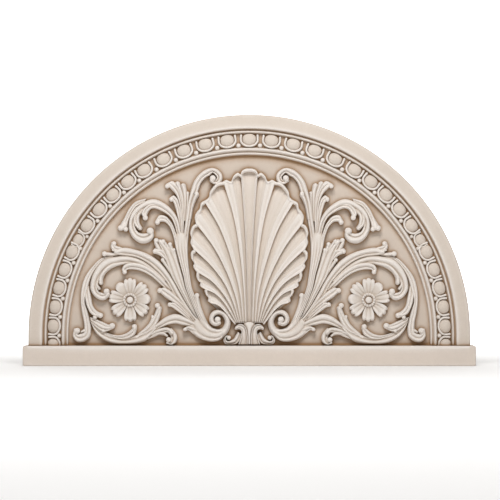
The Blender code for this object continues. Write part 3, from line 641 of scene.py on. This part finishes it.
def leaf_points(section, heights, stations):
    """Rings of a leaf from its stations, which give its two edges, and its rounded tip."""
    stations = np.array(stations, float)
    middle = (stations[:, :2] + stations[:, 2:]) / 2
    at = np.concatenate([[0], np.cumsum(np.linalg.norm(np.diff(middle, axis=0), axis=1))])
    fine = np.linspace(0, at[-1], max(4, int(at[-1] / LEAF_STEP)))
    edges = smooth(stations, at, fine)
    first, second = edges[:, :2], edges[:, 2:]
    t = fine / at[-1]
    root, mid, tip = heights
    height = root * (1 - t) * (1 - 2 * t) + mid * 4 * t * (1 - t) + tip * t * (2 * t - 1)
    ahead = (first + second)[-1] - (first + second)[-2]
    ahead /= np.linalg.norm(ahead)
    centre, half = (first[-1] + second[-1]) / 2, (second[-1] - first[-1]) / 2
    reach = np.linalg.norm(half) * 0.95
    turns = np.linspace(0, math.pi / 2, 9)[1:]
    for turn in turns:
        spot = centre + ahead * reach * math.sin(turn)
        span = half * max(math.cos(turn), 0.03)
        first = np.vstack([first, spot - span])
        second = np.vstack([second, spot + span])
        height = np.append(height, tip * (0.4 + 0.6 * math.cos(turn) ** 0.6))
    width = np.linalg.norm(second - first, axis=1)
    to_tip = np.concatenate([at[-1] - fine, np.zeros(len(turns))])
    merged = np.clip(1 - to_tip / (1.2 * width[len(fine) - 1] + 2), 0, 1)[:, None] ** 2
    dome = EDGE + (1 - EDGE) * np.sin(math.pi * section[:, 0]) ** 0.6
    form = section[None, :, 1] * (1 - merged) + dome[None] * (1 + TIP_SWELL) * merged
    spots = first[:, None] + (second - first)[:, None] * section[None, :, :1]
    proud = np.where(section[None, :, 1] < 0, -SUNK, form * height[:, None])
    return placed(spots[..., 0], spots[..., 1], proud)


def ball_points(x, z, radius, top):
    """Rings of a round knob that stands on the ground."""
    rings = [(1.0, -SUNK), (1.0, top - radius)]
    rings += [(math.cos(a), top - radius + radius * math.sin(a)) for a in np.linspace(0.15, 1.5, 8)]
    turns = np.linspace(0, 2 * math.pi, 21)[:-1]
    return np.array([placed(x + radius * size * np.cos(turns), z + radius * size * np.sin(turns), proud)
                     for size, proud in rings])


def joined(shapes):
    """Points and faces of several ringed shapes as one mesh."""
    points, faces, start = [], [], 0
    for rings in shapes:
        faces += tube_faces(len(rings), rings.shape[1], start)
        points.append(rings.reshape(-1, 3))
        start += rings.shape[0] * rings.shape[1]
    return np.vstack(points), faces


def carved_pair(name, leaves, balls=()):
    """The same carving on the left and, mirrored, on the right."""
    shapes = [leaf_points(*leaf) for leaf in leaves] + [ball_points(*ball) for ball in balls]
    points, faces = joined(shapes)
    for side, flip in SIDES.items():
        mesh_piece(name + "_" + side, points * [flip, 1, 1], faces, **of_panel)


carved_pair("volute", [
    (TRIO, (15, 20, 22), [
        (160, 48, 128, 84), (148, 29, 116, 66), (138, 21, 108, 57), (120, 13, 101, 50), (100, 9.5, 92, 46),
        (80, 13, 82, 44), (65, 26, 71, 46)]),
    (ONE, (18, 24, 27), [
        (102, 10.5, 92, 42), (80, 13, 82, 44), (63, 26, 72, 48), (53, 42, 67, 56), (49, 60, 66, 66),
        (53, 77, 70, 75), (64, 90, 76, 81), (80, 96, 84, 82), (95, 92, 90, 78),
        (105, 80, 93, 72), (107, 67, 92, 67), (101, 56, 89, 64), (90, 51, 86, 65),
        (79, 54, 83, 66)]),
    (QUAD, (16, 19, 16), [
        (118, 47, 104, 50), (127, 59, 110, 59), (148, 100, 130, 100), (161, 131, 144, 131),
        (168, 150, 151, 150), (177, 190, 158, 190), (187, 225, 162, 225), (197, 262, 163, 258),
        (200, 285, 162, 284)]),
    (ONE, (13, 17, 19), [
        (122, 64, 110, 60), (134, 88, 121, 85), (142, 112, 129, 108), (145, 127, 133, 127)]),
    (BAND, (13, 19, 21), [
        (130, 44, 138, 22), (147, 49, 152, 32), (162, 52, 162, 40), (174, 46, 170, 38)]),
], [(84, 69, 8, 29), (139, 133, 6.5, 21), (170, 43, 5, 22)])


# Hooked stem beside the shell: a reeded stalk that rises from the bundle and bends over at the
# top into a small hook with a pearl in its eye.
carved_pair("hook", [
    (BAND, (13, 20, 25), [
        (176, 262, 163, 262), (176, 290, 161, 290), (172, 320, 157, 320), (168, 350, 152, 350),
        (163, 385, 147, 382), (156, 411, 137, 406), (146, 438, 127, 433), (131, 457, 114, 447),
        (115, 468, 104, 452), (98, 472, 97, 458), (82, 466, 91, 453), (71, 450, 87, 446),
        (74, 434, 89, 441), (90, 427, 93, 439), (104, 434, 96, 442)]),
    (ONE, (14, 19, 23), [
        (163, 335, 153, 335), (155, 372, 147, 370), (150, 393, 139, 389), (146, 402, 134, 397)]),
], [(97, 444, 8, 28), (140, 403, 6, 24)])


# Palmette: a fan of leaf lobes on the outer side of the hooked stem, the outermost two curling
# away from the shell. It is cut from the slab together with the stem.
carved_pair("palmette", [
    (PAIR, (15, 18, 21), [
        (175, 292, 181, 292), (173, 330, 183, 330), (174, 362, 184, 362), (178, 390, 189, 386),
        (184, 414, 197, 403), (194, 430, 206, 413), (206, 437, 213, 419), (219, 431, 216, 418)]),
    (ONE, (12, 18, 23), [
        (180, 330, 173, 330), (182, 380, 171, 380), (189, 410, 175, 407), (197, 428, 184, 432)]),
    (ONE, (12, 18, 23), [
        (177, 330, 169, 330), (176, 380, 165, 380), (179, 406, 165, 407), (183, 423, 168, 425)]),
    (ONE, (12, 17, 20), [
        (172, 330, 168, 330), (168, 370, 161, 370), (169, 404, 159, 405)]),
    (PAIR, (14, 17, 21), [
        (177, 300, 182, 300), (179, 340, 190, 338), (184, 372, 197, 366), (193, 393, 203, 381),
        (203, 399, 207, 384), (211, 393, 209, 386)]),
], [(218, 423, 6, 24), (207, 388, 6, 23)])


# Upper C-scroll: a carved stalk that leaves the bundle, swings outwards and rolls under, with a
# long leaf on its back, two leaves inside it and a smaller hooked one below.
carved_pair("c_scroll", [
    (BAND, (14, 22, 25), [
        (177, 262, 190, 265), (181, 300, 194, 300), (192, 342, 208, 338), (216, 371, 228, 354),
        (256, 389, 256, 364), (287, 378, 276, 358), (309, 360, 288, 347), (320, 332, 303, 330),
        (319, 303, 301, 311), (307, 283, 295, 302), (287, 271, 285, 298), (266, 274, 277, 298),
        (253, 290, 268, 301), (255, 308, 268, 304)]),
    (PAIR, (14, 19, 20), [
        (274, 391, 279, 379), (303, 382, 301, 366), (321, 362, 313, 347), (332, 340, 320, 330),
        (345, 319, 323, 313)]),
    (PAIR, (11, 21, 24), [
        (228, 369, 232, 357), (246, 377, 246, 364), (266, 376, 261, 362), (281, 364, 268, 354),
        (287, 350, 271, 346), (283, 341, 271, 340)]),
    (PAIR, (14, 21, 24), [
        (286, 372, 277, 369), (304, 354, 288, 352), (309, 334, 292, 336), (304, 318, 290, 323),
        (295, 308, 285, 315)]),
    (PAIR, (12, 20, 22), [
        (186, 262, 196, 258), (195, 300, 204, 297), (208, 329, 214, 318), (225, 345, 226, 328),
        (241, 345, 236, 328), (249, 333, 239, 325)]),
], [(263, 304, 9.5, 27), (342, 312, 7.5, 22), (328, 309, 6.5, 20.5), (276, 339, 7, 26),
    (244, 327, 6.5, 24)])


# Spray: a pointed leaf between the two scrolls, lobed on its outer side. It is cut from the slab,
# and its foot runs into the bundle.
carved_pair("spray", [
    (TRIO, (14, 18, 20), [
        (128, 62, 119, 58), (143, 77, 136, 74), (160, 101, 148, 100), (178, 131, 159, 127),
        (194, 160, 170, 155), (207, 182, 178, 187), (217, 208, 188, 220), (226, 232, 198, 246),
        (234, 255, 212, 265), (243, 272, 227, 278)]),
    (ONE, (12, 19, 22), [
        (220, 225, 229, 222), (227, 247, 238, 242), (236, 264, 247, 255), (246, 279, 252, 268)]),
    (ONE, (12, 18, 21), [
        (212, 230, 202, 232), (220, 255, 208, 256), (230, 275, 219, 272)]),
    (ONE, (12, 18, 20), [
        (203, 222, 192, 226), (209, 245, 198, 248), (215, 265, 205, 267)]),
    (PAIR, (12, 19, 22), [
        (205, 212, 212, 200), (218, 239, 225, 228), (232, 257, 239, 239), (247, 259, 248, 243)]),
    (ONE, (12, 18, 21), [
        (202, 190, 207, 182), (213, 211, 220, 203), (225, 229, 231, 220)]),
    (ONE, (12, 17, 19), [
        (196, 205, 184, 205), (201, 230, 190, 232), (205, 250, 196, 253)]),
], [(247, 279, 6.5, 24), (229, 276, 6, 22), (210.5, 269, 5.5, 21), (250, 250, 6.5, 24), (230, 227, 5, 22),
    (200.5, 254, 4.5, 20)])


# Big scroll: the long carved stem that sweeps up and over the flower, the ring that rolls under
# at its end, and the leaves that peel off its top, its inside and its outer side.
carved_pair("big_scroll", [
    (BAND, (14, 19, 20), [
        (134, 70, 146, 58), (143, 77, 154, 72), (160, 101, 172, 94), (178, 131, 195, 122),
        (207, 182, 221, 169), (235, 219, 246, 197), (265, 241, 272, 219), (300, 254, 300, 233),
        (336, 260, 335, 238), (352, 257, 352, 240)]),
    (PAIR, (14, 19, 21), [
        (332, 247, 336, 259), (350, 249, 343, 262), (364, 254, 350, 264), (369, 262, 355, 267),
        (367, 272, 357, 269)]),
    (ONE, (13, 17, 19), [
        (335, 247, 335, 256), (352, 247, 352, 256), (363, 250, 362, 257)]),
    (ONE, (12, 17, 19), [
        (350, 237, 350, 248), (368, 237, 367, 247), (379, 238, 378, 248)]),
    (BAND, (13, 20, 22), [
        (220, 174, 232, 163), (245, 198, 258, 186), (285, 227, 292, 206), (320, 238, 320, 215),
        (352, 237, 350, 211), (385, 229, 373, 199), (409, 204, 388, 183), (422, 170, 400, 166),
        (422, 148, 402, 150), (411, 130, 397, 142), (397, 121, 390, 140), (383, 121, 384, 140),
        (372, 130, 381, 141)]),
    (ONE, (13, 21, 23), [
        (345, 227, 345, 216), (370, 218, 365, 205), (391, 199, 382, 190), (401, 181, 388, 176),
        (401, 168, 388, 166)]),
    (ONE, (12, 19, 22), [
        (410, 176, 403, 172), (408, 160, 400, 160), (402, 149, 395, 153)]),
    (BAND, (12, 20, 24), [
        (205, 150, 216, 142), (222, 170, 238, 164), (258, 203, 266, 187), (295, 220, 296, 200),
        (320, 220, 315, 202), (334, 213, 323, 201), (339, 201, 327, 197), (336, 194, 328, 193)]),
    (PAIR, (12, 19, 22), [
        (152, 84, 159, 74), (174, 112, 184, 100), (195, 134, 206, 116), (214, 149, 224, 128),
        (229, 154, 236, 139), (242, 148, 240, 141)]),
    (PAIR, (12, 18, 21), [
        (150, 68, 152, 60), (168, 88, 174, 78), (188, 107, 194, 93), (203, 116, 206, 101),
        (215, 110, 212, 103)]),
], [(379, 143.5, 8, 25), (359, 271, 6, 23), (384.5, 243.5, 7, 22), (331, 195, 6, 25), (237, 146, 7, 24),
    (211, 108.5, 6, 22)])


# Outer leaf: cut beside the ring, down its outside, it curls up at the foot of the arch, with a
# ridge and a lobed leaf on its inner side.
carved_pair("outer_leaf", [
    (PAIR, (12, 18, 20), [
        (362, 241, 362, 234), (395, 231, 386, 226), (418, 209, 403, 209), (438, 180, 420, 180),
        (447, 147, 430, 146), (448, 118, 437, 118), (445, 88, 429, 88), (440, 62, 423, 62),
        (439, 47, 420, 44), (440, 36, 424, 21), (446, 33, 442, 9), (452, 31, 459, 10),
        (456, 33, 469, 24), (458, 38, 467, 42)]),
    (PAIR, (12, 19, 22), [
        (440, 160, 425, 158), (438, 130, 420, 128), (431, 102, 414, 103), (419, 82, 403, 91),
        (405, 75, 395, 87)]),
    (TRIO, (12, 19, 21), [
        (424, 76, 420, 60), (405, 70, 408, 48), (388, 62, 394, 38), (374, 56, 378, 37),
        (366, 56, 366, 42)]),
    (ONE, (12, 17, 19), [
        (432, 52, 428, 40), (439, 45, 438, 34), (444, 41, 445, 33)]),
], [(457, 39, 8, 23), (395, 80, 7, 25), (364, 52, 8, 25), (410, 75, 5.5, 21), (388, 39, 5, 20)])


# Foot sweep: the carved stem that runs along the ledge under the flower, with two small leaves
# standing on it, the arched leaf that joins it to the volute, and the curl that rolls under beside
# the volute.
carved_pair("foot_sweep", [
    (BAND, (12, 18, 18), [
        (424, 66, 420, 64), (407, 32, 402, 46), (380, 11, 377, 31), (350, 3, 350, 23),
        (320, 3, 322, 22), (298, 5, 294, 30), (272, 14, 268, 44), (258, 30, 250, 52)]),
    (PAIR, (12, 18, 22), [
        (384, 30, 388, 38), (363, 21, 363, 29), (336, 15, 341, 28), (317, 19, 325, 34),
        (302, 31, 314, 43), (298, 44, 310, 48)]),
    (PAIR, (12, 19, 22), [
        (298, 30, 290, 18), (276, 49, 262, 34), (262, 66, 244, 58), (252, 84, 236, 79),
        (247, 98, 232, 97)]),
    (ONE, (12, 17, 18), [
        (276, 46, 265, 48), (265, 63, 257, 62), (260, 76, 253, 74)]),
    (BAND, (15, 20, 15), [
        (132, 58, 140, 42), (145, 63, 147, 46), (160, 71, 160, 51), (177, 80, 177, 54),
        (197, 84, 195, 58), (220, 77, 215, 55), (243, 61, 236, 46), (270, 41, 262, 32),
        (300, 27, 296, 16)]),
    (BAND, (12, 21, 24), [
        (208, 47, 214, 33), (199, 38, 211, 28), (191, 22, 209, 20), (194, 8, 210, 12),
        (205, 2, 212, 7), (219, 4, 216, 10)]),
    (BAND, (12, 19, 22), [
        (290, 17, 284, 10), (258, 38, 252, 22), (234, 47, 232, 31), (214, 47, 216, 34),
        (202, 41, 212, 29)]),
    (ONE, (14, 18, 20), [
        (258, 33, 258, 20), (240, 38, 240, 27), (225, 36, 226, 26), (216, 27, 222, 24)]),
], [(214, 15, 7, 25), (305, 50, 7, 24), (244, 106, 7, 24), (257, 77, 4, 19)])


# Root of the shell: a bud on the centre line between two pairs of curled leaves, cut from the
# slab just above the ledge.
BUD = [(4, 4), (4.5, 18), (6, 32), (9, 43), (14, 52), (15.5, 57), (12.5, 61), (7, 63)]
BUD_TOP = 27.0
BUD_ROWS = 30

carved_pair("root_leaves", [
    (EDGED, (22, 27, 29), [
        (3, 3, 30, 3), (3, 18, 25, 17), (5, 35, 22, 29), (9, 48, 21, 38), (17, 56, 25, 43),
        (27, 57, 30, 43), (36, 51, 34, 42)]),
    (BAND, (20, 24, 25), [
        (31, 37, 22, 30), (36, 28, 23, 17), (42, 18, 33, 4), (52, 13, 50, 2), (60, 14, 64, 4),
        (61, 20, 69, 13), (57, 24, 64, 24)]),
], [(54, 21, 5.5, 28)])

along_bud = np.linspace(0, 1, BUD_ROWS)
bud_widths = smooth(np.array(BUD, float), np.linspace(0, 1, len(BUD)), along_bud)
bud_rings = []
for t, (width, z) in zip(along_bud, bud_widths):
    proud = np.where(ONE[:, 1] < 0, -SUNK, ONE[:, 1] * BUD_TOP * (1 - 0.45 * t ** 6))
    bud_rings.append(placed(width * (1 - 2 * ONE[:, 0]), z, proud))
mesh_piece("root_bud", bud_rings, tube_faces(BUD_ROWS, len(ONE)), **of_panel)


# Flower inside each big scroll: eight dished petals, most with three lobes and a fan of fine
# ribs, round a boss in a ring of beads. It is cut from the slab.
FLOWER = (317, 121)
# Each petal's turn in degrees, its number of lobes, and how much prouder it stands.
PETALS = [(90, 3, 1.4), (43, 3, 0.5), (3, 1, 0.0), (-38, 3, 1.0), (-89, 3, 0.2), (-141, 3, 1.2),
          (169, 3, 0.5), (127, 1, -0.3)]
PETAL_LENGTH = 58.5
PETAL_ROOT = 14.0
PETAL_SPREAD = 23.5
PETAL_TOP = 16.0
BEADS = 14
BEAD_SIZE = 3.1
BEAD_LINE = 15.3
BEAD_PROUD = 14.5
BOSS_SIZE = 8.9


def petal_points(turn, lobes, raise_by):
    """Columns of one petal from edge to edge, each closed down into the ground."""
    rows = np.linspace(0, 1, 22)
    rings = []
    for side in np.linspace(-1, 1, 31):
        if lobes == 3:
            lobe = abs(math.cos(1.5 * math.pi * side))
            reach = 0.92 + 0.08 * lobe ** 0.7 - 0.05 * side ** 2 - 0.15 * side ** 6
            spread = PETAL_SPREAD
        else:
            lobe = math.cos(0.5 * math.pi * side)
            reach = 0.74 + 0.2 * lobe ** 0.6
            spread = PETAL_SPREAD * 0.85
        radius = PETAL_ROOT + (PETAL_LENGTH * reach - PETAL_ROOT) * rows
        widen = 1.12 - 0.2 * rows ** 2
        angle = math.radians(turn) + math.radians(spread * side) * widen
        dish = 0.5 + 0.42 * rows ** 1.1
        ribs = 0.16 * lobe ** 0.8 + 0.03 * math.cos(9 * math.pi * side)
        edge = 0.1 * abs(side) ** 4 + ribs * np.sin(rows * math.pi) ** 0.5
        fall = 1 - 0.5 * np.clip((rows - 0.86) / 0.14, 0, 1) ** 2
        side_fall = 1 - 0.35 * max(0.0, abs(side) - 0.85) / 0.15
        proud = (PETAL_TOP + raise_by) * (dish + edge) * fall * side_fall
        x = FLOWER[0] - radius * np.cos(angle)
        z = FLOWER[1] + radius * np.sin(angle)
        ring = placed(x, z, proud)
        rings.append(np.vstack([ring, placed(x[-1:], z[-1:], -SUNK), placed(x[:1], z[:1], -SUNK)]))
    return np.array(rings)


def turned_rings(outline, count=40):
    """Rings of the flower's heart, from its outline as radii and heights."""
    turns = np.linspace(0, 2 * math.pi, count + 1)[:-1]
    return np.array([placed(FLOWER[0] + r * np.cos(turns), FLOWER[1] + r * np.sin(turns), proud)
                     for r, proud in outline])


heart_outline = [(18.8, -SUNK), (18.8, 12.0), (18.2, 13.0), (12.2, 13.0), (11.6, 12.0),
                 (10.8, 9.5), (9.6, 9.0), (BOSS_SIZE, 9.0), (8.6, 16.0), (7.4, 18.6), (5.4, 20.4),
                 (3.0, 21.3), (0.6, 21.6)]
flower_points, flower_faces = joined(
    [petal_points(*petal) for petal in PETALS] + [turned_rings(heart_outline)])
bead_tree = copying_tree(
    "bead ring", {"Base": "Geometry", "Beads": "Int", "Ring Radius": "Float", "Bead Radius": "Float",
                  "Centre": "Vector"}, {
        "ring": ("GeometryNodeMeshCircle", {}),
        "bead": ("GeometryNodeMeshUVSphere", {"Segments": 14, "Rings": 9}),
        "on_ring": ("GeometryNodeInstanceOnPoints", {}),
        "upright": ("GeometryNodeTransform", {"Rotation": (math.pi / 2, 0, 0)})}, [
        ("inputs", "Beads", "ring", "Vertices"), ("inputs", "Ring Radius", "ring", "Radius"),
        ("inputs", "Bead Radius", "bead", "Radius"), ("inputs", "Centre", "upright", "Translation"),
        ("ring", "Mesh", "on_ring", "Points"), ("bead", "Mesh", "on_ring", "Instance"),
        ("on_ring", "Instances", "upright", "Geometry"), ("upright", "Geometry", "real", "Geometry")])
for side, flip in SIDES.items():
    mesh_piece("flower_" + side, flower_points * [flip, 1, 1], flower_faces, **of_panel)
    host = linked("beading host", bpy.data.meshes.new("beading host"))
    centre = placed(FLOWER[0] * flip, FLOWER[1], BEAD_PROUD)
    values = {"Beads": BEADS, "Ring Radius": BEAD_LINE / 1000, "Bead Radius": BEAD_SIZE / 1000,
              "Centre": tuple(centre)}
    grown("flower_beads_" + side, host, bead_tree, values)


# Painted shade and dust in the hollows: the front is read as a height map, and every point is
# compared with the mean height round it, close by and further off. The ground has an even painted
# shade with some dust everywhere and a painted shadow under the arch's crown, what stands proud is
# worn paler with a painted highlight, and the outer edge and the back have none.
MAP_STEP = 0.0016
MARGIN = 5
NEAR_REACH, NEAR_DEPTH = 3, 8
FAR_REACH, FAR_DEPTH = 9, 26
# Even painted shade, with some dust, on all the sunk ground.
GROUND_DUST_AND_SHADE = 0.23
GROUND_SHARE = 0.6
SHELL_SHARE = 0.8
# Paler tint on proud points: wear and a painted highlight.
WEAR_AND_HIGHLIGHT = 0.0035
# Painted shadow on the ground under the arch's crown: where it starts, how far it reaches, how strong.
CROWN_SHADOW_RADIUS = INNER_RADIUS - 0.4
CROWN_SHADOW_REACH = 8.0
CROWN_SHADOW_STRENGTH = 1.2
UNTINTED_RADIUS = ARCH_RADIUS - 0.5
UNTINTED_DEPTH = SLAB - 5.0


def spread_mean(field, reach):
    """Mean over a square of cells, run twice so that its weight falls off evenly."""
    for _ in range(2):
        for axis in (0, 1):
            padded = np.concatenate([np.repeat(np.take(field, [0], axis), reach + 1, axis), field,
                                     np.repeat(np.take(field, [-1], axis), reach, axis)], axis)
            total = np.cumsum(padded, axis)
            count = field.shape[axis]
            high = np.take(total, range(2 * reach + 1, 2 * reach + 1 + count), axis)
            field = (high - np.take(total, range(count), axis)) / (2 * reach + 1)
    return field


def vertex_places(piece):
    """World places of a piece's points, as rows."""
    places = np.empty(len(piece.data.vertices) * 3)
    piece.data.vertices.foreach_get("co", places)
    return places.reshape(-1, 3)


carved = list(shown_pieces())
low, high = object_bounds()
all_places, all_faces, start = [], [], 0
for piece in carved:
    places = vertex_places(piece)
    all_places += places.tolist()
    all_faces += [[start + v for v in face.vertices] for face in piece.data.polygons]
    start += len(places)
front = BVHTree.FromPolygons(all_places, all_faces)
rows = int((high.z - low.z) / MAP_STEP) + 2 * MARGIN + 2
columns = int((high.x - low.x) / MAP_STEP) + 2 * MARGIN + 2
heights = np.full((rows, columns), np.nan)
ahead = Vector((0.0, 1.0, 0.0))
for row in range(rows):
    for column in range(columns):
        x, z = low.x + (column - MARGIN) * MAP_STEP, low.z + (row - MARGIN) * MAP_STEP
        hit = front.ray_cast(Vector((x, -1.0, z)), ahead)[0]
        if hit:
            heights[row, column] = hit.y
while np.isnan(heights).any():
    for axis in (0, 1):
        for shift in (1, -1):
            beside = np.roll(heights, shift, axis)
            heights = np.where(np.isnan(heights), beside, heights)
proud = (panel_high.y - heights) * 1000
means = [(spread_mean(proud, reach), 1 / depth)
         for reach, depth in ((NEAR_REACH, NEAR_DEPTH), (FAR_REACH, FAR_DEPTH))]
for piece in carved:
    places = vertex_places(piece)
    row = (places[:, 2] - low.z) / MAP_STEP + MARGIN
    col = (places[:, 0] - low.x) / MAP_STEP + MARGIN
    r, c = row.astype(int), col.astype(int)
    fr, fc = row - r, col - c
    own = (panel_high.y - places[:, 1]) * 1000
    hollow = 0.0
    for field, weight in means:
        level = (field[r, c] * (1 - fr) * (1 - fc) + field[r + 1, c] * fr * (1 - fc)
                 + field[r, c + 1] * (1 - fr) * fc + field[r + 1, c + 1] * fr * fc)
        hollow = hollow + (level - own) * weight
    above = np.maximum((places[:, 2] - panel_low.z) * 1000 - STILT, 0)
    radius = np.hypot(places[:, 0] * 1000, above)
    if piece == ground:
        # Painted shadow under the arch's crown, falling off away from the moulding.
        crown_shadow = np.exp((radius - CROWN_SHADOW_RADIUS) / CROWN_SHADOW_REACH) * (above / (radius + 1)) ** 3
        # The ground takes an even painted shade with some dust, and the painted shadow under the crown.
        hollow = hollow * GROUND_SHARE + GROUND_DUST_AND_SHADE + CROWN_SHADOW_STRENGTH * crown_shadow
    elif piece == eggs:
        hollow = np.maximum(hollow, 0)
    elif piece == shell:
        # Proud points are tinted paler: wear with a painted highlight.
        hollow = hollow * SHELL_SHARE - WEAR_AND_HIGHLIGHT * own
    elif piece not in (slab, base_ledge):
        # Proud points are tinted paler: wear with a painted highlight.
        hollow -= WEAR_AND_HIGHLIGHT * own
    hollow = np.clip(hollow, -1, 1.5)
    hollow[(radius > UNTINTED_RADIUS) | (own < UNTINTED_DEPTH)] = 0.0
    piece.data.attributes.new("hollow", "FLOAT", "POINT").data.foreach_set("value", hollow)


# Studio: a white floor and a far backdrop that glow softly, more so behind the object, and a large
# soft light above the front with a weak warm fill.
FLOOR_REACH = 14.0
BACKDROP = 10.0
GLOW = 0.08
FRONT_GLOW = 0.37
BACK_GLOW = 0.9
KEY_POWER = 70.5
KEY_SIZE = (1.5, 0.9)
KEY_PLACE = (0.0, -2.15, 2.5)
KEY_AIM = (0.0, 0.0, 0.3)
FILL_COLOUR = (1.0, 0.95, 0.89, 1.0)
FILL_STRENGTH = 0.255

bends = [(-FLOOR_REACH, 0.0), (BACKDROP, 0.0), (BACKDROP, FLOOR_REACH)]
corners = [(x, y, z) for y, z in bends for x in (-FLOOR_REACH, FLOOR_REACH)]
floor_mesh = bpy.data.meshes.new("floor")
floor_mesh.from_pydata(corners, [], [(0, 1, 3, 2), (2, 3, 5, 4)])
floor = linked("floor", floor_mesh)
paper = bpy.data.materials.new("white paper")
paper.use_nodes = True
paper_shader = paper.node_tree.nodes["Principled BSDF"]
paper_shader.inputs["Base Color"].default_value = (0.9, 0.9, 0.9, 1.0)
paper_shader.inputs["Roughness"].default_value = 0.9
where = Shade(paper.node_tree).add("ShaderNodeTexCoord", output=3)
back = where.add("ShaderNodeSeparateXYZ", None, {"Vector": where}, 1)
glow = back.ramp(-0.8, -4.0) * FRONT_GLOW + back.ramp(0.3, 2.0) * BACK_GLOW + GLOW
paper.node_tree.links.new(glow.socket, paper_shader.inputs["Emission Color"])
paper_shader.inputs["Emission Strength"].default_value = 1.0
floor_mesh.materials.append(paper)

key_data = bpy.data.lights.new("key", "AREA")
key_data.shape = "RECTANGLE"
key_data.size, key_data.size_y = KEY_SIZE
key_data.energy = KEY_POWER
key = linked("key", key_data)
key.location = KEY_PLACE
key.rotation_euler = (Vector(KEY_AIM) - Vector(KEY_PLACE)).to_track_quat("-Z", "Y").to_euler()
world = bpy.data.worlds.new("soft room")
world.use_nodes = True
fill = world.node_tree.nodes["Background"]
fill.inputs["Color"].default_value = FILL_COLOUR
fill.inputs["Strength"].default_value = FILL_STRENGTH
bpy.context.scene.world = world
bpy.context.scene.view_settings.view_transform = "Standard"


# Camera straight in front, far off with a long lens, as in the photograph.
FRAME_WIDTH = 1.325
LENS = 200.0
SENSOR = 36.0
VIEW_CENTRE = (0.0019, 0.307)

camera_data = bpy.data.cameras.new("camera")
camera_data.lens = LENS
camera_data.sensor_width = SENSOR
camera = linked("camera", camera_data)
distance = FRAME_WIDTH * LENS / SENSOR
camera.location = (VIEW_CENTRE[0], panel_low.y - distance, VIEW_CENTRE[1])
camera.rotation_euler = (math.pi / 2, 0.0, 0.0)
bpy.context.scene.camera = camera
